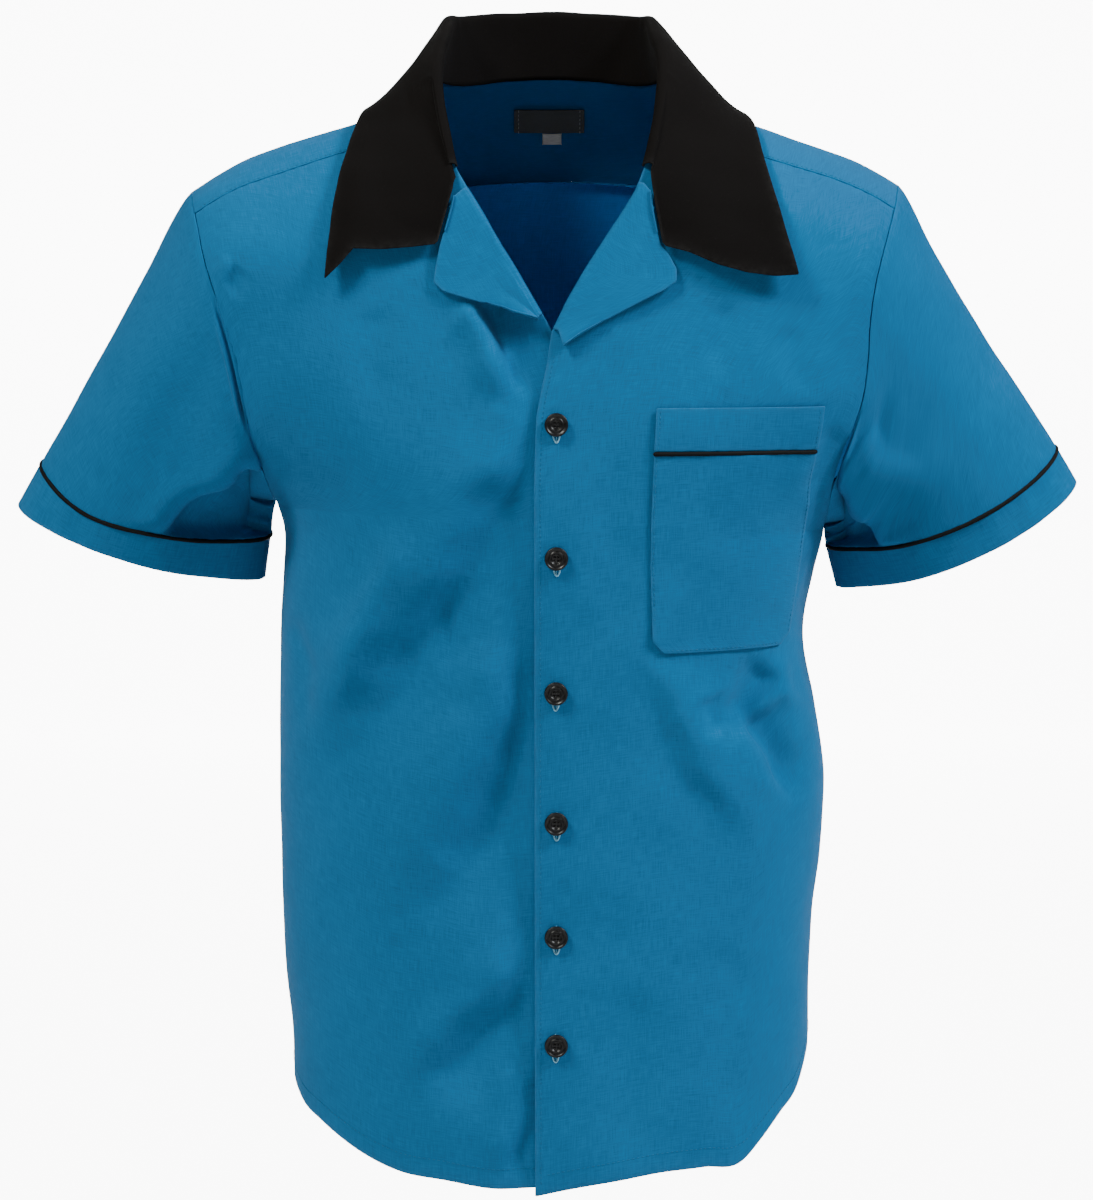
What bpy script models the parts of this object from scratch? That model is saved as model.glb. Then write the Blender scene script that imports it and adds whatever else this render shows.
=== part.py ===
"""A short-sleeved camp-collar bowling shirt, filled out as if worn, made of the pieces it is sewn from.

+X is the wearer's left, -Y is the front and +Z is up, in metres. The origin is the centre of the neck's
base. The body is one smooth form: sections by height, and shoulders that round from a ridge line into the
front and the back. Every piece is a grid of points on that form, or a loft that starts on it.
"""

import math

import bpy
import numpy as np


def table(names, *rows):
    """The named columns of a short table, as arrays."""
    return dict(zip(names.split(), np.array(rows, float).T))


# ---- cloth, seams and trim
CLOTH = 0.0015
SEAM_GAP = 0.0005
SLEEVE_GAP = 0.0008  # at the shoulder, where the sleeve bends away from the body
LAID_GAP = 0.0006
COLLAR_GAP = 0.0010
LAPEL_GAP = 0.0010
COLLAR_STAND_OFF = 0.0040
LAPEL_STAND_OFF = 0.0028
POCKET_LIFT = 0.0010
LAPEL_LIFT = 0.0050
LABEL_WALL = 0.001
CUFF_CORD = 0.0030
POCKET_CORD = 0.0024
BUTTON_WIDTH = 0.0152
BUTTON_THICK = 0.0030

# ---- the body's form
ROUNDNESS = 2.4  # of a section: 2 is an ellipse, and more is squarer
SHOULDER_DROP = 0.090  # the height in which the shoulders round into the front and the back
UNDERARM = {"left": -0.280, "right": -0.265}
ARMHOLE_DEPTH = 0.70  # the armhole's half depth, as a share of the body's
ARMHOLE_ROUND = 0.45  # the share of its height in which its lower end rounds out

# The shoulder line, out from the neck's centre; its first row keeps the middle level.
RIDGE = table(
    "out height",
    (-0.030, 0.0380),
    (0.000, 0.0420),
    (0.030, 0.0380),
    (0.060, 0.0225),
    (0.090, 0.0045),
    (0.120, -0.0120),
    (0.150, -0.0224),
    (0.180, -0.0320),
    (0.205, -0.0413),
    (0.2225, -0.0512),
    (0.236, -0.0605),
)
# How far the body stands forward and back of the ridge.
DEPTH = table(
    "height front back",
    (-0.720, 0.126, 0.124),
    (-0.600, 0.127, 0.121),
    (-0.450, 0.129, 0.118),
    (-0.350, 0.131, 0.119),
    (-0.270, 0.131, 0.122),
    (-0.200, 0.126, 0.123),
    (-0.150, 0.118, 0.121),
    (-0.100, 0.107, 0.116),
    (-0.050, 0.093, 0.108),
    (0.000, 0.076, 0.100),
    (0.045, 0.062, 0.096),
)
# Half the body's width under the armholes.
SIDES = table(
    "height left right",
    (-0.720, 0.1680, 0.1690),
    (-0.650, 0.1718, 0.1724),
    (-0.600, 0.1744, 0.1752),
    (-0.540, 0.1758, 0.1790),
    (-0.500, 0.1808, 0.1803),
    (-0.450, 0.1833, 0.1806),
    (-0.400, 0.1770, 0.1802),
    (-0.350, 0.1694, 0.1790),
    (-0.310, 0.1752, 0.1776),
    (-0.280, 0.1820, 0.1775),
    (-0.265, 0.1820, 0.1820),
)
# The armhole seam's distance out, by its share of the way from the underarm to the shoulder.
ARMHOLE = table(
    "rise left right",
    (0.0, 0.1820, 0.1820),
    (0.1, 0.1835, 0.1865),
    (0.2, 0.1885, 0.1920),
    (0.3, 0.1955, 0.1965),
    (0.4, 0.2025, 0.2010),
    (0.5, 0.2055, 0.2055),
    (0.6, 0.2065, 0.2110),
    (0.7, 0.2095, 0.2175),
    (0.8, 0.2150, 0.2245),
    (0.9, 0.2225, 0.2300),
    (1.0, 0.2290, 0.2356),
)
# The largest folds of the body: a soft ridge, or a trough where proud is negative, along a line.
FOLDS = table(
    "side x0 z0 x1 z1 width proud",
    (-1, 0.157, -0.385, 0.128, -0.405, 0.017, -0.0050),
    (-1, 0.130, -0.408, 0.160, -0.450, 0.016, -0.0045),
    (-1, 0.085, -0.380, 0.139, -0.480, 0.018, 0.0035),
    (-1, -0.077, -0.325, -0.133, -0.399, 0.017, -0.0040),
    (-1, -0.122, -0.325, -0.154, -0.393, 0.015, 0.0040),
    (-1, -0.060, -0.320, -0.055, -0.380, 0.013, -0.0020),
    (-1, -0.016, -0.356, -0.040, -0.456, 0.020, -0.0045),
    (-1, -0.040, -0.456, -0.076, -0.485, 0.020, -0.0035),
    (-1, -0.033, -0.135, -0.012, -0.186, 0.013, -0.0030),
    (1, 0.030, -0.330, 0.115, -0.430, 0.020, -0.0050),
    (1, -0.045, -0.340, -0.130, -0.460, 0.020, -0.0050),
    (1, 0.105, -0.130, 0.125, -0.240, 0.018, -0.0040),
    (1, -0.100, -0.125, -0.130, -0.235, 0.018, -0.0040),
)

# ---- the neck seam, from the centre back to the gorge: its place on the form, and what stands on it
# out: from the centre; over: the way over the shoulder, back positive; stand: its height;
# lean: degrees towards the neck; turn: degrees that the cloth turns over the roll;
# edge_left, edge_right, edge_over: where the collar's outer edge lies; edge_lift: how far it stands off.
COLLAR = table(
    "share out over stand lean turn edge_left edge_right edge_over edge_lift",
    (0.00, 0.0000, 0.0735, 0.0405, 36, 150, 0.0000, 0.0000, 0.1050, 0.0070),
    (0.12, 0.0240, 0.0715, 0.0405, 34, 150, 0.0350, 0.0340, 0.1000, 0.0070),
    (0.25, 0.0480, 0.0600, 0.0418, 30, 150, 0.0720, 0.0690, 0.0820, 0.0065),
    (0.38, 0.0675, 0.0380, 0.0392, 38, 148, 0.1010, 0.0950, 0.0500, 0.0060),
    (0.50, 0.0755, 0.0080, 0.0255, 50, 142, 0.1210, 0.1110, 0.0120, 0.0055),
    (0.62, 0.0745, -0.0220, 0.0125, 48, 132, 0.1310, 0.1215, -0.0270, 0.0060),
    (0.74, 0.0710, -0.0530, 0.0055, 34, 118, 0.1360, 0.1300, -0.0620, 0.0070),
    (0.87, 0.0665, -0.0850, 0.0020, 16, 102, 0.1440, 0.1375, -0.0980, 0.0085),
    (1.00, 0.0605, -0.1160, 0.0006, 0, 90, 0.1573, 0.1425, -0.1400, 0.0100),
)
COLLAR_OPEN = {"left": 14, "right": 0}  # degrees less that each side turns, half way round
ROLL = 0.0038  # the radius of the collar's and the lapels' roll
# The collar's front end: down the gorge from the roll, then along the lower edge to the tip.
COLLAR_END = table(
    "share left_x left_z right_x right_z lift",
    (0.000, 0.0625, -0.0445, 0.0580, -0.0470, 0.0046),
    (0.125, 0.0660, -0.0640, 0.0636, -0.0640, 0.0050),
    (0.375, 0.0717, -0.0936, 0.0718, -0.0929, 0.0055),
    (0.500, 0.0877, -0.0981, 0.0865, -0.0949, 0.0065),
    (0.625, 0.1050, -0.1057, 0.1058, -0.0968, 0.0080),
    (0.750, 0.1249, -0.1115, 0.1243, -0.0970, 0.0095),
    (0.875, 0.1422, -0.1136, 0.1327, -0.1064, 0.0100),
    (1.000, 0.1570, -0.1128, 0.1424, -0.1153, 0.0090),
)

# ---- the fronts: the inner edge, from the hem up the closure and the lapel's roll line
EDGE_LEFT = table(
    "height out",
    (-0.7200, -0.0098),
    (-0.2423, -0.0103),
    (-0.2012, -0.0090),
    (-0.1850, -0.0060),
    (-0.1650, -0.0018),
    (-0.1472, 0.0006),
    (-0.1264, 0.0108),
    (-0.1083, 0.0215),
    (-0.0894, 0.0345),
    (-0.0577, 0.0545),
)
EDGE_RIGHT = table(
    "height out",
    (-0.7200, -0.0180),
    (-0.1850, -0.0180),
    (-0.1700, -0.0140),
    (-0.1550, -0.0060),
    (-0.1415, 0.0014),
    (-0.1264, 0.0103),
    (-0.1083, 0.0212),
    (-0.0894, 0.0322),
    (-0.0577, 0.0516),
)
UNDERLAP_SINK = 0.0022  # how far the right front lies behind the left one at the closure
UNDERLAP_START = -0.036
UNDERLAP_END = -0.016
# The lapels: each row runs from the roll line out to the gorge or to the front's turned edge.
LAPEL_LEFT = table(
    "roll_z edge_x edge_z",
    (-0.0530, 0.0641, -0.0600),
    (-0.0620, 0.0654, -0.0690),
    (-0.0720, 0.0680, -0.0800),
    (-0.0830, 0.0704, -0.0930),
    (-0.0900, 0.0750, -0.0980),
    (-0.1000, 0.0806, -0.1080),
    (-0.1070, 0.0806, -0.1160),
    (-0.1130, 0.0721, -0.1217),
    (-0.1200, 0.0574, -0.1290),
    (-0.1290, 0.0380, -0.1390),
    (-0.1380, 0.0200, -0.1490),
    (-0.1450, 0.0085, -0.1570),
)
LAPEL_RIGHT = table(
    "roll_z edge_x edge_z",
    (-0.0560, 0.0616, -0.0630),
    (-0.0640, 0.0640, -0.0720),
    (-0.0720, 0.0664, -0.0800),
    (-0.0830, 0.0703, -0.0930),
    (-0.0910, 0.0730, -0.1070),
    (-0.0980, 0.0743, -0.1166),
    (-0.1040, 0.0683, -0.1221),
    (-0.1120, 0.0479, -0.1281),
    (-0.1210, 0.0300, -0.1325),
    (-0.1300, 0.0140, -0.1375),
    (-0.1360, 0.0070, -0.1400),
)

# The hem's height, by the share of the way across from the front edge or the centre back to the side.
HEM = table(
    "share left right back",
    (0.00, -0.7085, -0.7000, -0.7120),
    (0.12, -0.7040, -0.7025, -0.7115),
    (0.30, -0.6985, -0.7035, -0.7090),
    (0.46, -0.6942, -0.6990, -0.7045),
    (0.62, -0.6930, -0.6952, -0.6965),
    (0.76, -0.6918, -0.6850, -0.6860),
    (0.82, -0.6810, -0.6790, -0.6800),
    (0.90, -0.6650, -0.6700, -0.6690),
    (0.96, -0.6510, -0.6620, -0.6570),
    (1.00, -0.6285, -0.6500, -0.6400),
)
HEM_SIDE = {"left": 0.0115, "right": -0.0100}  # how much higher than the middle of both the back's hem ends

# ---- the rings that armhole points and sleeves share
RING = 36
YOKE_FRONT_STEP = 15  # the front yoke seam's place on the armhole ring, in steps from the underarm
YOKE_BACK_STEP = 13
YOKE_BACK_HEIGHT = -0.056  # the back yoke seam at the centre back

# A sleeve's piping seam and hem: the two ends of its width, its half depth, how far its front dips and its
# back rises along the sleeve, and how far both sag.
SLEEVE_RINGS = {
    "left": table(
        "inner_x inner_z outer_x outer_z depth dip sag",
        (0.1848, -0.2962, 0.3372, -0.2297, 0.052, 0.0075, 0.0100),
        (0.1918, -0.3234, 0.3510, -0.2524, 0.048, 0.0065, 0.0080),
    ),
    "right": table(
        "inner_x inner_z outer_x outer_z depth dip sag",
        (0.1860, -0.2885, 0.3388, -0.2400, 0.052, 0.0095, 0.0070),
        (0.1900, -0.3170, 0.3545, -0.2677, 0.048, 0.0070, 0.0040),
    ),
}
SLEEVE_STARTS = ((0.15, -0.99), (0.90, -0.44))  # x and z of its way out, at the underarm and the shoulder
SLEEVE_PULL = (0.6, 0.15)
SLEEVE_HOLLOW = {"left": 0.0050, "right": 0.0020}  # how far the sleeve's top line dips between its ends
# The sleeves' largest folds: where round the ring (degrees from the underarm to the front), and where down.
SLEEVE_FOLDS = table(
    "round down round_width down_width proud",
    (34, 0.35, 14, 0.30, -0.0055),
    (62, 0.45, 13, 0.30, 0.0030),
    (100, 0.60, 14, 0.22, -0.0025),
    (300, 0.50, 16, 0.25, -0.0030),
)
SLEEVE_STEPS = (0.0, 0.022, 0.055, 0.11, 0.21, 0.34, 0.50, 0.74, 1.0)

# ---- the pocket, on the left front
POCKET = table(
    "height inner outer",
    (-0.3530, 0.0720, 0.1490),
    (-0.3450, 0.0650, 0.1555),
    (-0.3000, 0.0641, 0.1620),
    (-0.2630, 0.0645, 0.1665),
    (-0.2280, 0.0660, 0.1708),
)
WELT = table(
    "height inner outer",
    (-0.2215, 0.0662, 0.1722),
    (-0.1955, 0.0676, 0.1762),
)
POCKET_CORD_HEIGHT = -0.2247

# ---- buttons and labels
BUTTON_OUT = 0.0040
BUTTON_HEIGHTS = (-0.2060, -0.2910, -0.3780, -0.4625, -0.5370, -0.6080)
LABEL = (-0.0247, 0.0238, -0.0052, -0.0212)  # x from and to, top and bottom height
SIZE_LABEL = (-0.0054, 0.0082, -0.0216, -0.0292)

# ---- finishes: colour, roughness
COTTON = ("turquoise_cotton", (0.020, 0.235, 0.440), 0.85)
COLLAR_CLOTH = ("black_collar_cotton", (0.012, 0.009, 0.008), 0.85)
PIPING = ("black_piping", (0.006, 0.006, 0.007), 0.60)
BUTTON = ("black_button", (0.008, 0.008, 0.009), 0.28)
LABEL_CLOTH = ("grey_label", (0.240, 0.250, 0.240), 0.70)
SIZE_CLOTH = ("pale_size_label", (0.560, 0.540, 0.500), 0.75)


def smooth(at, knots, values):
    """A curve through a table's rows, with each row's slope taken from its neighbours."""
    at = np.clip(at, knots[0], knots[-1])
    slopes = np.gradient(values, knots)
    i = np.clip(np.searchsorted(knots, at, side="right") - 1, 0, len(knots) - 2)
    step = knots[i + 1] - knots[i]
    t = (at - knots[i]) / step
    start = (1 + 2 * t) * (1 - t) ** 2 * values[i] + t * (1 - t) ** 2 * step * slopes[i]
    end = t**2 * (3 - 2 * t) * values[i + 1] - t**2 * (1 - t) * step * slopes[i + 1]
    return start + end


def ease(share):
    """0 to 1 with no slope at either end."""
    t = np.clip(share, 0, 1)
    return t * t * (3 - 2 * t)


def unit(v):
    return v / np.maximum(np.linalg.norm(v, axis=-1, keepdims=True), 1e-12)


def mix(a, b, share):
    return a + (b - a) * share


# ---- the body's form


def ridge(x):
    return smooth(np.abs(x), RIDGE["out"], RIDGE["height"])


def armhole_out(share, hand):
    return smooth(share, ARMHOLE["rise"], ARMHOLE[hand])


def armhole_top(hand):
    return ridge(armhole_out(1.0, hand))


def armhole_depth(share):
    """The armhole's half depth as a share of the body's: nothing at the underarm, rounding out above."""
    return ARMHOLE_DEPTH * np.sqrt(1 - (1 - np.clip(share / ARMHOLE_ROUND, 0, 1)) ** 2)


def half_width(height, hand):
    """Half of a section's width: the sides under the arms, and above them what carries the armhole."""
    share = np.clip((height - UNDERARM[hand]) / (armhole_top(hand) - UNDERARM[hand]), 0, 1)
    reach = (1 - armhole_depth(share) ** ROUNDNESS) ** (1 / ROUNDNESS)
    below = smooth(height, SIDES["height"], SIDES[hand])
    return np.where(height < UNDERARM[hand], below, armhole_out(share, hand) / reach)


def folds(x, height, side):
    """How far the folds stand out: each a soft ridge round a line, fading out at the line's ends."""
    out = np.zeros(np.broadcast(x, height).shape)
    for i in range(len(FOLDS["side"])):
        start = np.array([FOLDS["x0"][i], FOLDS["z0"][i]])
        way = np.array([FOLDS["x1"][i], FOLDS["z1"][i]]) - start
        along = ((x - start[0]) * way[0] + (height - start[1]) * way[1]) / (way @ way)
        nearest = np.clip(along, 0, 1)
        off = np.hypot(x - start[0] - nearest * way[0], height - start[1] - nearest * way[1])
        shape = np.exp(-((off / FOLDS["width"][i]) ** 2)) * (1 - 0.6 * (2 * nearest - 1) ** 2)
        out = out + np.where(side == FOLDS["side"][i], FOLDS["proud"][i], 0) * shape
    return out


def form(x, over):
    """A point of the body: x across, and over the shoulder from the ridge, forward negative."""
    x, over = np.broadcast_arrays(np.asarray(x, float), np.asarray(over, float))
    angle = np.minimum(np.abs(over) / SHOULDER_DROP, math.pi / 2)
    straight = np.maximum(np.abs(over) - SHOULDER_DROP * math.pi / 2, 0)
    height = ridge(x) - SHOULDER_DROP * (1 - np.cos(angle)) - straight
    half = np.where(x >= 0, half_width(height, "left"), half_width(height, "right"))
    across = np.maximum(1 - np.clip(np.abs(x) / half, 0, 1) ** ROUNDNESS, 0) ** (1 / ROUNDNESS)
    side = np.where(over < 0, -1, 1)
    deep = np.where(
        side < 0,
        smooth(height, DEPTH["height"], DEPTH["front"]),
        smooth(height, DEPTH["height"], DEPTH["back"]),
    )
    proud = folds(x, height, side) * np.minimum(across / 0.4, 1)
    return np.stack([x, side * (deep * across * np.sin(angle) + proud), height], -1)


def over_at(x, height, side):
    """The way over the shoulder to a height, on the front (-1) or on the back (1)."""
    drop = np.maximum(ridge(x) - height, 0)
    rounded = SHOULDER_DROP * np.arccos(np.clip(1 - drop / SHOULDER_DROP, 0, 1))
    return side * (rounded + np.maximum(drop - SHOULDER_DROP, 0))


def normal(x, over):
    """The form's outward direction, from the points just beside."""
    d = 0.0015
    return unit(np.cross(form(x + d, over) - form(x - d, over), form(x, over + d) - form(x, over - d)))


def lay(x, over, lift):
    """Points moved out from the form by lift."""
    return form(x, over) + normal(x, over) * np.asarray(lift)[..., None]


def lay_at(x, height, side, lift):
    return lay(x, over_at(x, height, side), lift)


# ---- pieces from grids of points


def material(finish):
    name, colour, roughness = finish
    if name in bpy.data.materials:
        return bpy.data.materials[name]
    made = bpy.data.materials.new(name)
    made.use_nodes = True
    shader = made.node_tree.nodes["Principled BSDF"]
    shader.inputs["Base Color"].default_value = (*colour, 1)
    shader.inputs["Roughness"].default_value = roughness
    made.diffuse_color = (*colour, 1)
    return made


def add(name, data, finish):
    piece = bpy.data.objects.new(name, data)
    data.materials.append(material(finish))
    bpy.data.collections["bowling_shirt"].objects.link(piece)
    return piece


def cloth(name, points, finish, wall=CLOTH, flip=False, closed=False):
    """A piece of cloth: its outer face is a grid of points, and its wall lies inside that face."""
    if flip:
        points = points[:, ::-1]
    rows, columns = points.shape[:2]
    number = np.arange(rows * columns).reshape(rows, columns)
    if closed:
        number = np.hstack([number, number[:, :1]])
    corners = (number[:-1, :-1], number[:-1, 1:], number[1:, 1:], number[1:, :-1])
    mesh = bpy.data.meshes.new(name)
    mesh.from_pydata(points.reshape(-1, 3).tolist(), [], np.stack(corners, -1).reshape(-1, 4).tolist())
    mesh.shade_smooth()
    piece = add(name, mesh, finish)
    solid = piece.modifiers.new("wall", "SOLIDIFY")
    solid.thickness = wall
    solid.offset = -1
    solid.use_quality_normals = True
    return piece


def cord(name, points, width, finish, closed=False):
    """A round cord through a line of points."""
    line = bpy.data.curves.new(name, "CURVE")
    line.dimensions = "3D"
    spline = line.splines.new("POLY")
    spline.points.add(len(points) - 1)
    spline.points.foreach_set("co", np.hstack([points, np.ones((len(points), 1))]).ravel())
    spline.use_cyclic_u = closed
    line.bevel_depth = width / 2
    line.bevel_resolution = 1
    line.use_fill_caps = not closed
    return add(name, line, finish)


# ---- body, yoke and fronts


def armhole_point(step, hand):
    """out and height of the armhole seam at steps of its ring, from the underarm to the shoulder."""
    share = (1 - np.cos(np.asarray(step) * 2 * math.pi / RING)) / 2
    top = armhole_top(hand)
    return armhole_out(share, hand), UNDERARM[hand] + share * (top - UNDERARM[hand])


def spread(columns):
    """Steps round a section from its middle to its side, and how far across each lies."""
    t = np.linspace(0, 1, columns)
    return t, np.sin(t**1.2 * math.pi / 2) ** (2 / ROUNDNESS)


def inner_edge(height, hand):
    """out of a front's inner edge: neck seam, roll line and closure."""
    rows = EDGE_LEFT if hand == "left" else EDGE_RIGHT
    neck = form(COLLAR["out"][-3:], COLLAR["over"][-3:])[::-1]
    heights = np.append(rows["height"], neck[:, 2])
    outs = np.append(rows["out"], neck[:, 0])
    return np.interp(height, heights, outs)


def front(hand, rows_below=17, columns=16):
    """A front: rows level at the hem, that lift towards the slope of the shoulder at the yoke seam."""
    sign = 1 if hand == "left" else -1
    t, round_share = spread(columns)
    grid = []
    hem = smooth(round_share, HEM["share"], HEM[hand])
    for r in 1 - (1 - np.linspace(0, 1, rows_below, endpoint=False)) ** 1.3:
        height = mix(hem, UNDERARM[hand], r)
        inner = inner_edge(height, hand)
        x = mix(inner, half_width(height, hand), round_share)
        grid.append(front_row(x, height, sign))
    for step in range(YOKE_FRONT_STEP + 1):
        out, level = armhole_point(step, hand)
        share = (level - UNDERARM[hand]) / (armhole_point(YOKE_FRONT_STEP, hand)[1] - UNDERARM[hand])
        inner = 0.05
        for _ in range(12):
            inner = 0.5 * inner + 0.5 * inner_edge(level + share * (ridge(inner) - ridge(out)), hand)
        x = mix(inner, out, round_share)
        grid.append(front_row(x, level + share * (ridge(x) - ridge(out)), sign))
    return cloth(f"front_{hand}", np.array(grid), COTTON, flip=hand == "right")


def front_row(out, height, sign):
    """A row of a front's points; under the left front's closure the right one sinks behind it."""
    points = form(sign * out, over_at(out, height, -1))
    points[:, 1] -= SEAM_GAP / 2
    if sign < 0:
        points[:, 1] += UNDERLAP_SINK * ease((points[:, 0] - UNDERLAP_START) / (UNDERLAP_END - UNDERLAP_START))
    return points


def back(rows_below=13, half_columns=12):
    t, round_share = spread(half_columns)
    grid = []
    for r in np.linspace(0, 1, rows_below, endpoint=False):
        halves = []
        for hand, sign in (("right", -1), ("left", 1)):
            hem = smooth(round_share, HEM["share"], HEM["back"]) + HEM_SIDE[hand] * round_share**4
            level = mix(sum(UNDERARM.values()) / 2, UNDERARM[hand], t)
            height = mix(hem, level, r)
            x = sign * half_width(height, hand) * round_share
            halves.append(form(x, over_at(x, height, 1)))
        grid.append(np.vstack([halves[0][::-1], halves[1][1:]]))
    for step in range(YOKE_BACK_STEP + 1):
        grid.append(back_row(step, round_share))
    points = np.array(grid)
    points[..., 1] += SEAM_GAP / 2
    return cloth("back", points, COTTON, flip=True)


def back_row(step, round_share):
    """A row of the back between its armhole points, which crowns towards the yoke seam."""
    ends = {hand: armhole_point(step, hand) for hand in UNDERARM}
    middle = (ends["left"][1] + ends["right"][1]) / 2
    top = (armhole_point(YOKE_BACK_STEP, "left")[1] + armhole_point(YOKE_BACK_STEP, "right")[1]) / 2
    start = (UNDERARM["left"] + UNDERARM["right"]) / 2
    crown = (YOKE_BACK_HEIGHT - top) * (middle - start) / (top - start)
    halves = []
    for hand, sign in (("right", -1), ("left", 1)):
        out, level = ends[hand]
        height = mix(middle + crown, level, round_share**2)
        halves.append(form(sign * out * round_share, over_at(out * round_share, height, 1)))
    return np.vstack([halves[0][::-1], halves[1][1:]])


def yoke(rows=7, back_columns=11):
    """The yoke: a fan from the neck seam out to the front seams, the armholes and the back seam."""
    halves = []
    for hand, sign in (("left", 1), ("right", -1)):
        steps = np.arange(RING - YOKE_BACK_STEP, YOKE_FRONT_STEP - 1, -1)
        out, height = armhole_point(np.minimum(steps, RING - steps), hand)
        side = np.where(steps > RING / 2, 1, -1)
        arm = np.stack([out, over_at(out, height, side)], -1)
        outer = np.vstack([back_seam(hand, np.linspace(0, 1, back_columns, endpoint=False)), arm])
        share = np.linspace(0, 1, len(outer))
        stop = np.interp(arm[-1, 1], COLLAR["over"][::-1], COLLAR["share"][::-1])
        neck = np.stack([smooth(share * stop, COLLAR["share"], COLLAR[c]) for c in ("out", "over")], -1)
        lines = mix(neck[None], outer[None], np.linspace(0, 1, rows)[:, None, None])
        lines[:, -1, 1] += SEAM_GAP
        lines[-1, : back_columns + 1, 1] -= SEAM_GAP
        halves.append(form(sign * lines[..., 0], lines[..., 1]))
    grid = np.concatenate([halves[1][:, ::-1], halves[0][:, 1:]], axis=1)
    return cloth("yoke", grid, COTTON)


def back_seam(hand, share):
    """The back yoke seam's out and over, by the share of the way from the centre back to the armhole."""
    out, level = armhole_point(YOKE_BACK_STEP, hand)
    height = mix(YOKE_BACK_HEIGHT, level, share**2)
    return np.stack([out * share, over_at(out * share, height, 1)], -1)


# ---- collar and lapels


def collar(half_columns=15):
    """The collar, folded over its roll: the stand up from the neck seam, the roll, and the fall."""
    halves = [collar_half(hand, half_columns) for hand in ("right", "left")]
    grid = np.concatenate([halves[0][:, ::-1], halves[1][:, 1:]], axis=1)
    return cloth("collar", grid, COLLAR_CLOTH, flip=True)


def collar_half(hand, columns, stand_rows=4, roll_rows=6, fall_rows=8):
    """Sections of the collar from the centre back to the gorge.

    A section leaves the seam with the stand's lean, turns on an arc over the roll, and comes down to the
    outer edge on a cubic curve that meets the body's form there.
    """
    sign = 1 if hand == "left" else -1
    share = np.linspace(0, 1, columns)
    c = {name: smooth(share, COLLAR["share"], COLLAR[name]) for name in COLLAR}
    x, over = sign * c["out"], c["over"]
    up = normal(x, over)
    seam = form(x, over) + up * COLLAR_GAP
    along = unit(np.gradient(seam, axis=0))
    along[0] = (sign, 0, 0)
    out = unit(np.cross(up, along)) * sign
    lean = np.radians(c["lean"])[:, None]
    rise = unit(up * np.cos(lean) - out * np.sin(lean))
    away = unit(out * np.cos(lean) + up * np.sin(lean))
    stand = seam + rise * c["stand"][:, None] * np.linspace(0, 1, stand_rows)[:, None, None]
    turned = np.radians(c["turn"] - COLLAR_OPEN[hand] * np.sin(math.pi * share))[:, None]
    angle = turned * np.linspace(0, 1, roll_rows + 1)[1:, None, None]
    roll = stand[-1] + ROLL * (rise * np.sin(angle) + away * (1 - np.cos(angle)))
    turn = angle[-1]
    down = rise * np.cos(turn) + away * np.sin(turn)
    edge_x = sign * c["edge_" + hand]
    edge_up = normal(edge_x, c["edge_over"])
    edge = lay(edge_x, c["edge_over"], c["edge_lift"])
    reach = edge - roll[-1]
    far = np.linalg.norm(reach, axis=-1, keepdims=True)
    land = unit(reach - edge_up * np.sum(reach * edge_up, -1, keepdims=True))
    t = np.linspace(0, 1, fall_rows + 1)[1:, None, None]
    fall = hermite(roll[-1], down * far * 0.8, edge, land * far * 0.8, t)
    end = COLLAR_END
    t_end = np.linspace(0, 1, fall_rows + 1)[1:]
    end_x, end_z, end_lift = (
        np.interp(t_end, end["share"], end[name]) for name in (hand + "_x", hand + "_z", "lift")
    )
    line = lay_at(sign * end_x, end_z, -1, end_lift)
    fall = fall + ease((share - 0.60) / 0.40)[None, :, None] * (line - fall[:, -1])[:, None]
    fall = clear(fall, COLLAR_STAND_OFF)
    return np.concatenate([stand, roll, fall])


def clear(points, least):
    """Moves points out to where they stand at least this far off the form."""
    side = np.where(points[..., 1] < 0, -1, 1)
    over = over_at(points[..., 0], points[..., 2], side)
    up = normal(points[..., 0], over)
    stands = np.sum((points - form(points[..., 0], over)) * up, -1, keepdims=True)
    return points + up * np.maximum(least - stands, 0)


def hermite(start, start_way, end, end_way, t):
    """The cubic curve between two points that leaves and arrives along the given ways."""
    return (
        (1 + 2 * t) * (1 - t) ** 2 * start
        + t * (1 - t) ** 2 * start_way
        + t**2 * (3 - 2 * t) * end
        - t**2 * (1 - t) * end_way
    )


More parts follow.
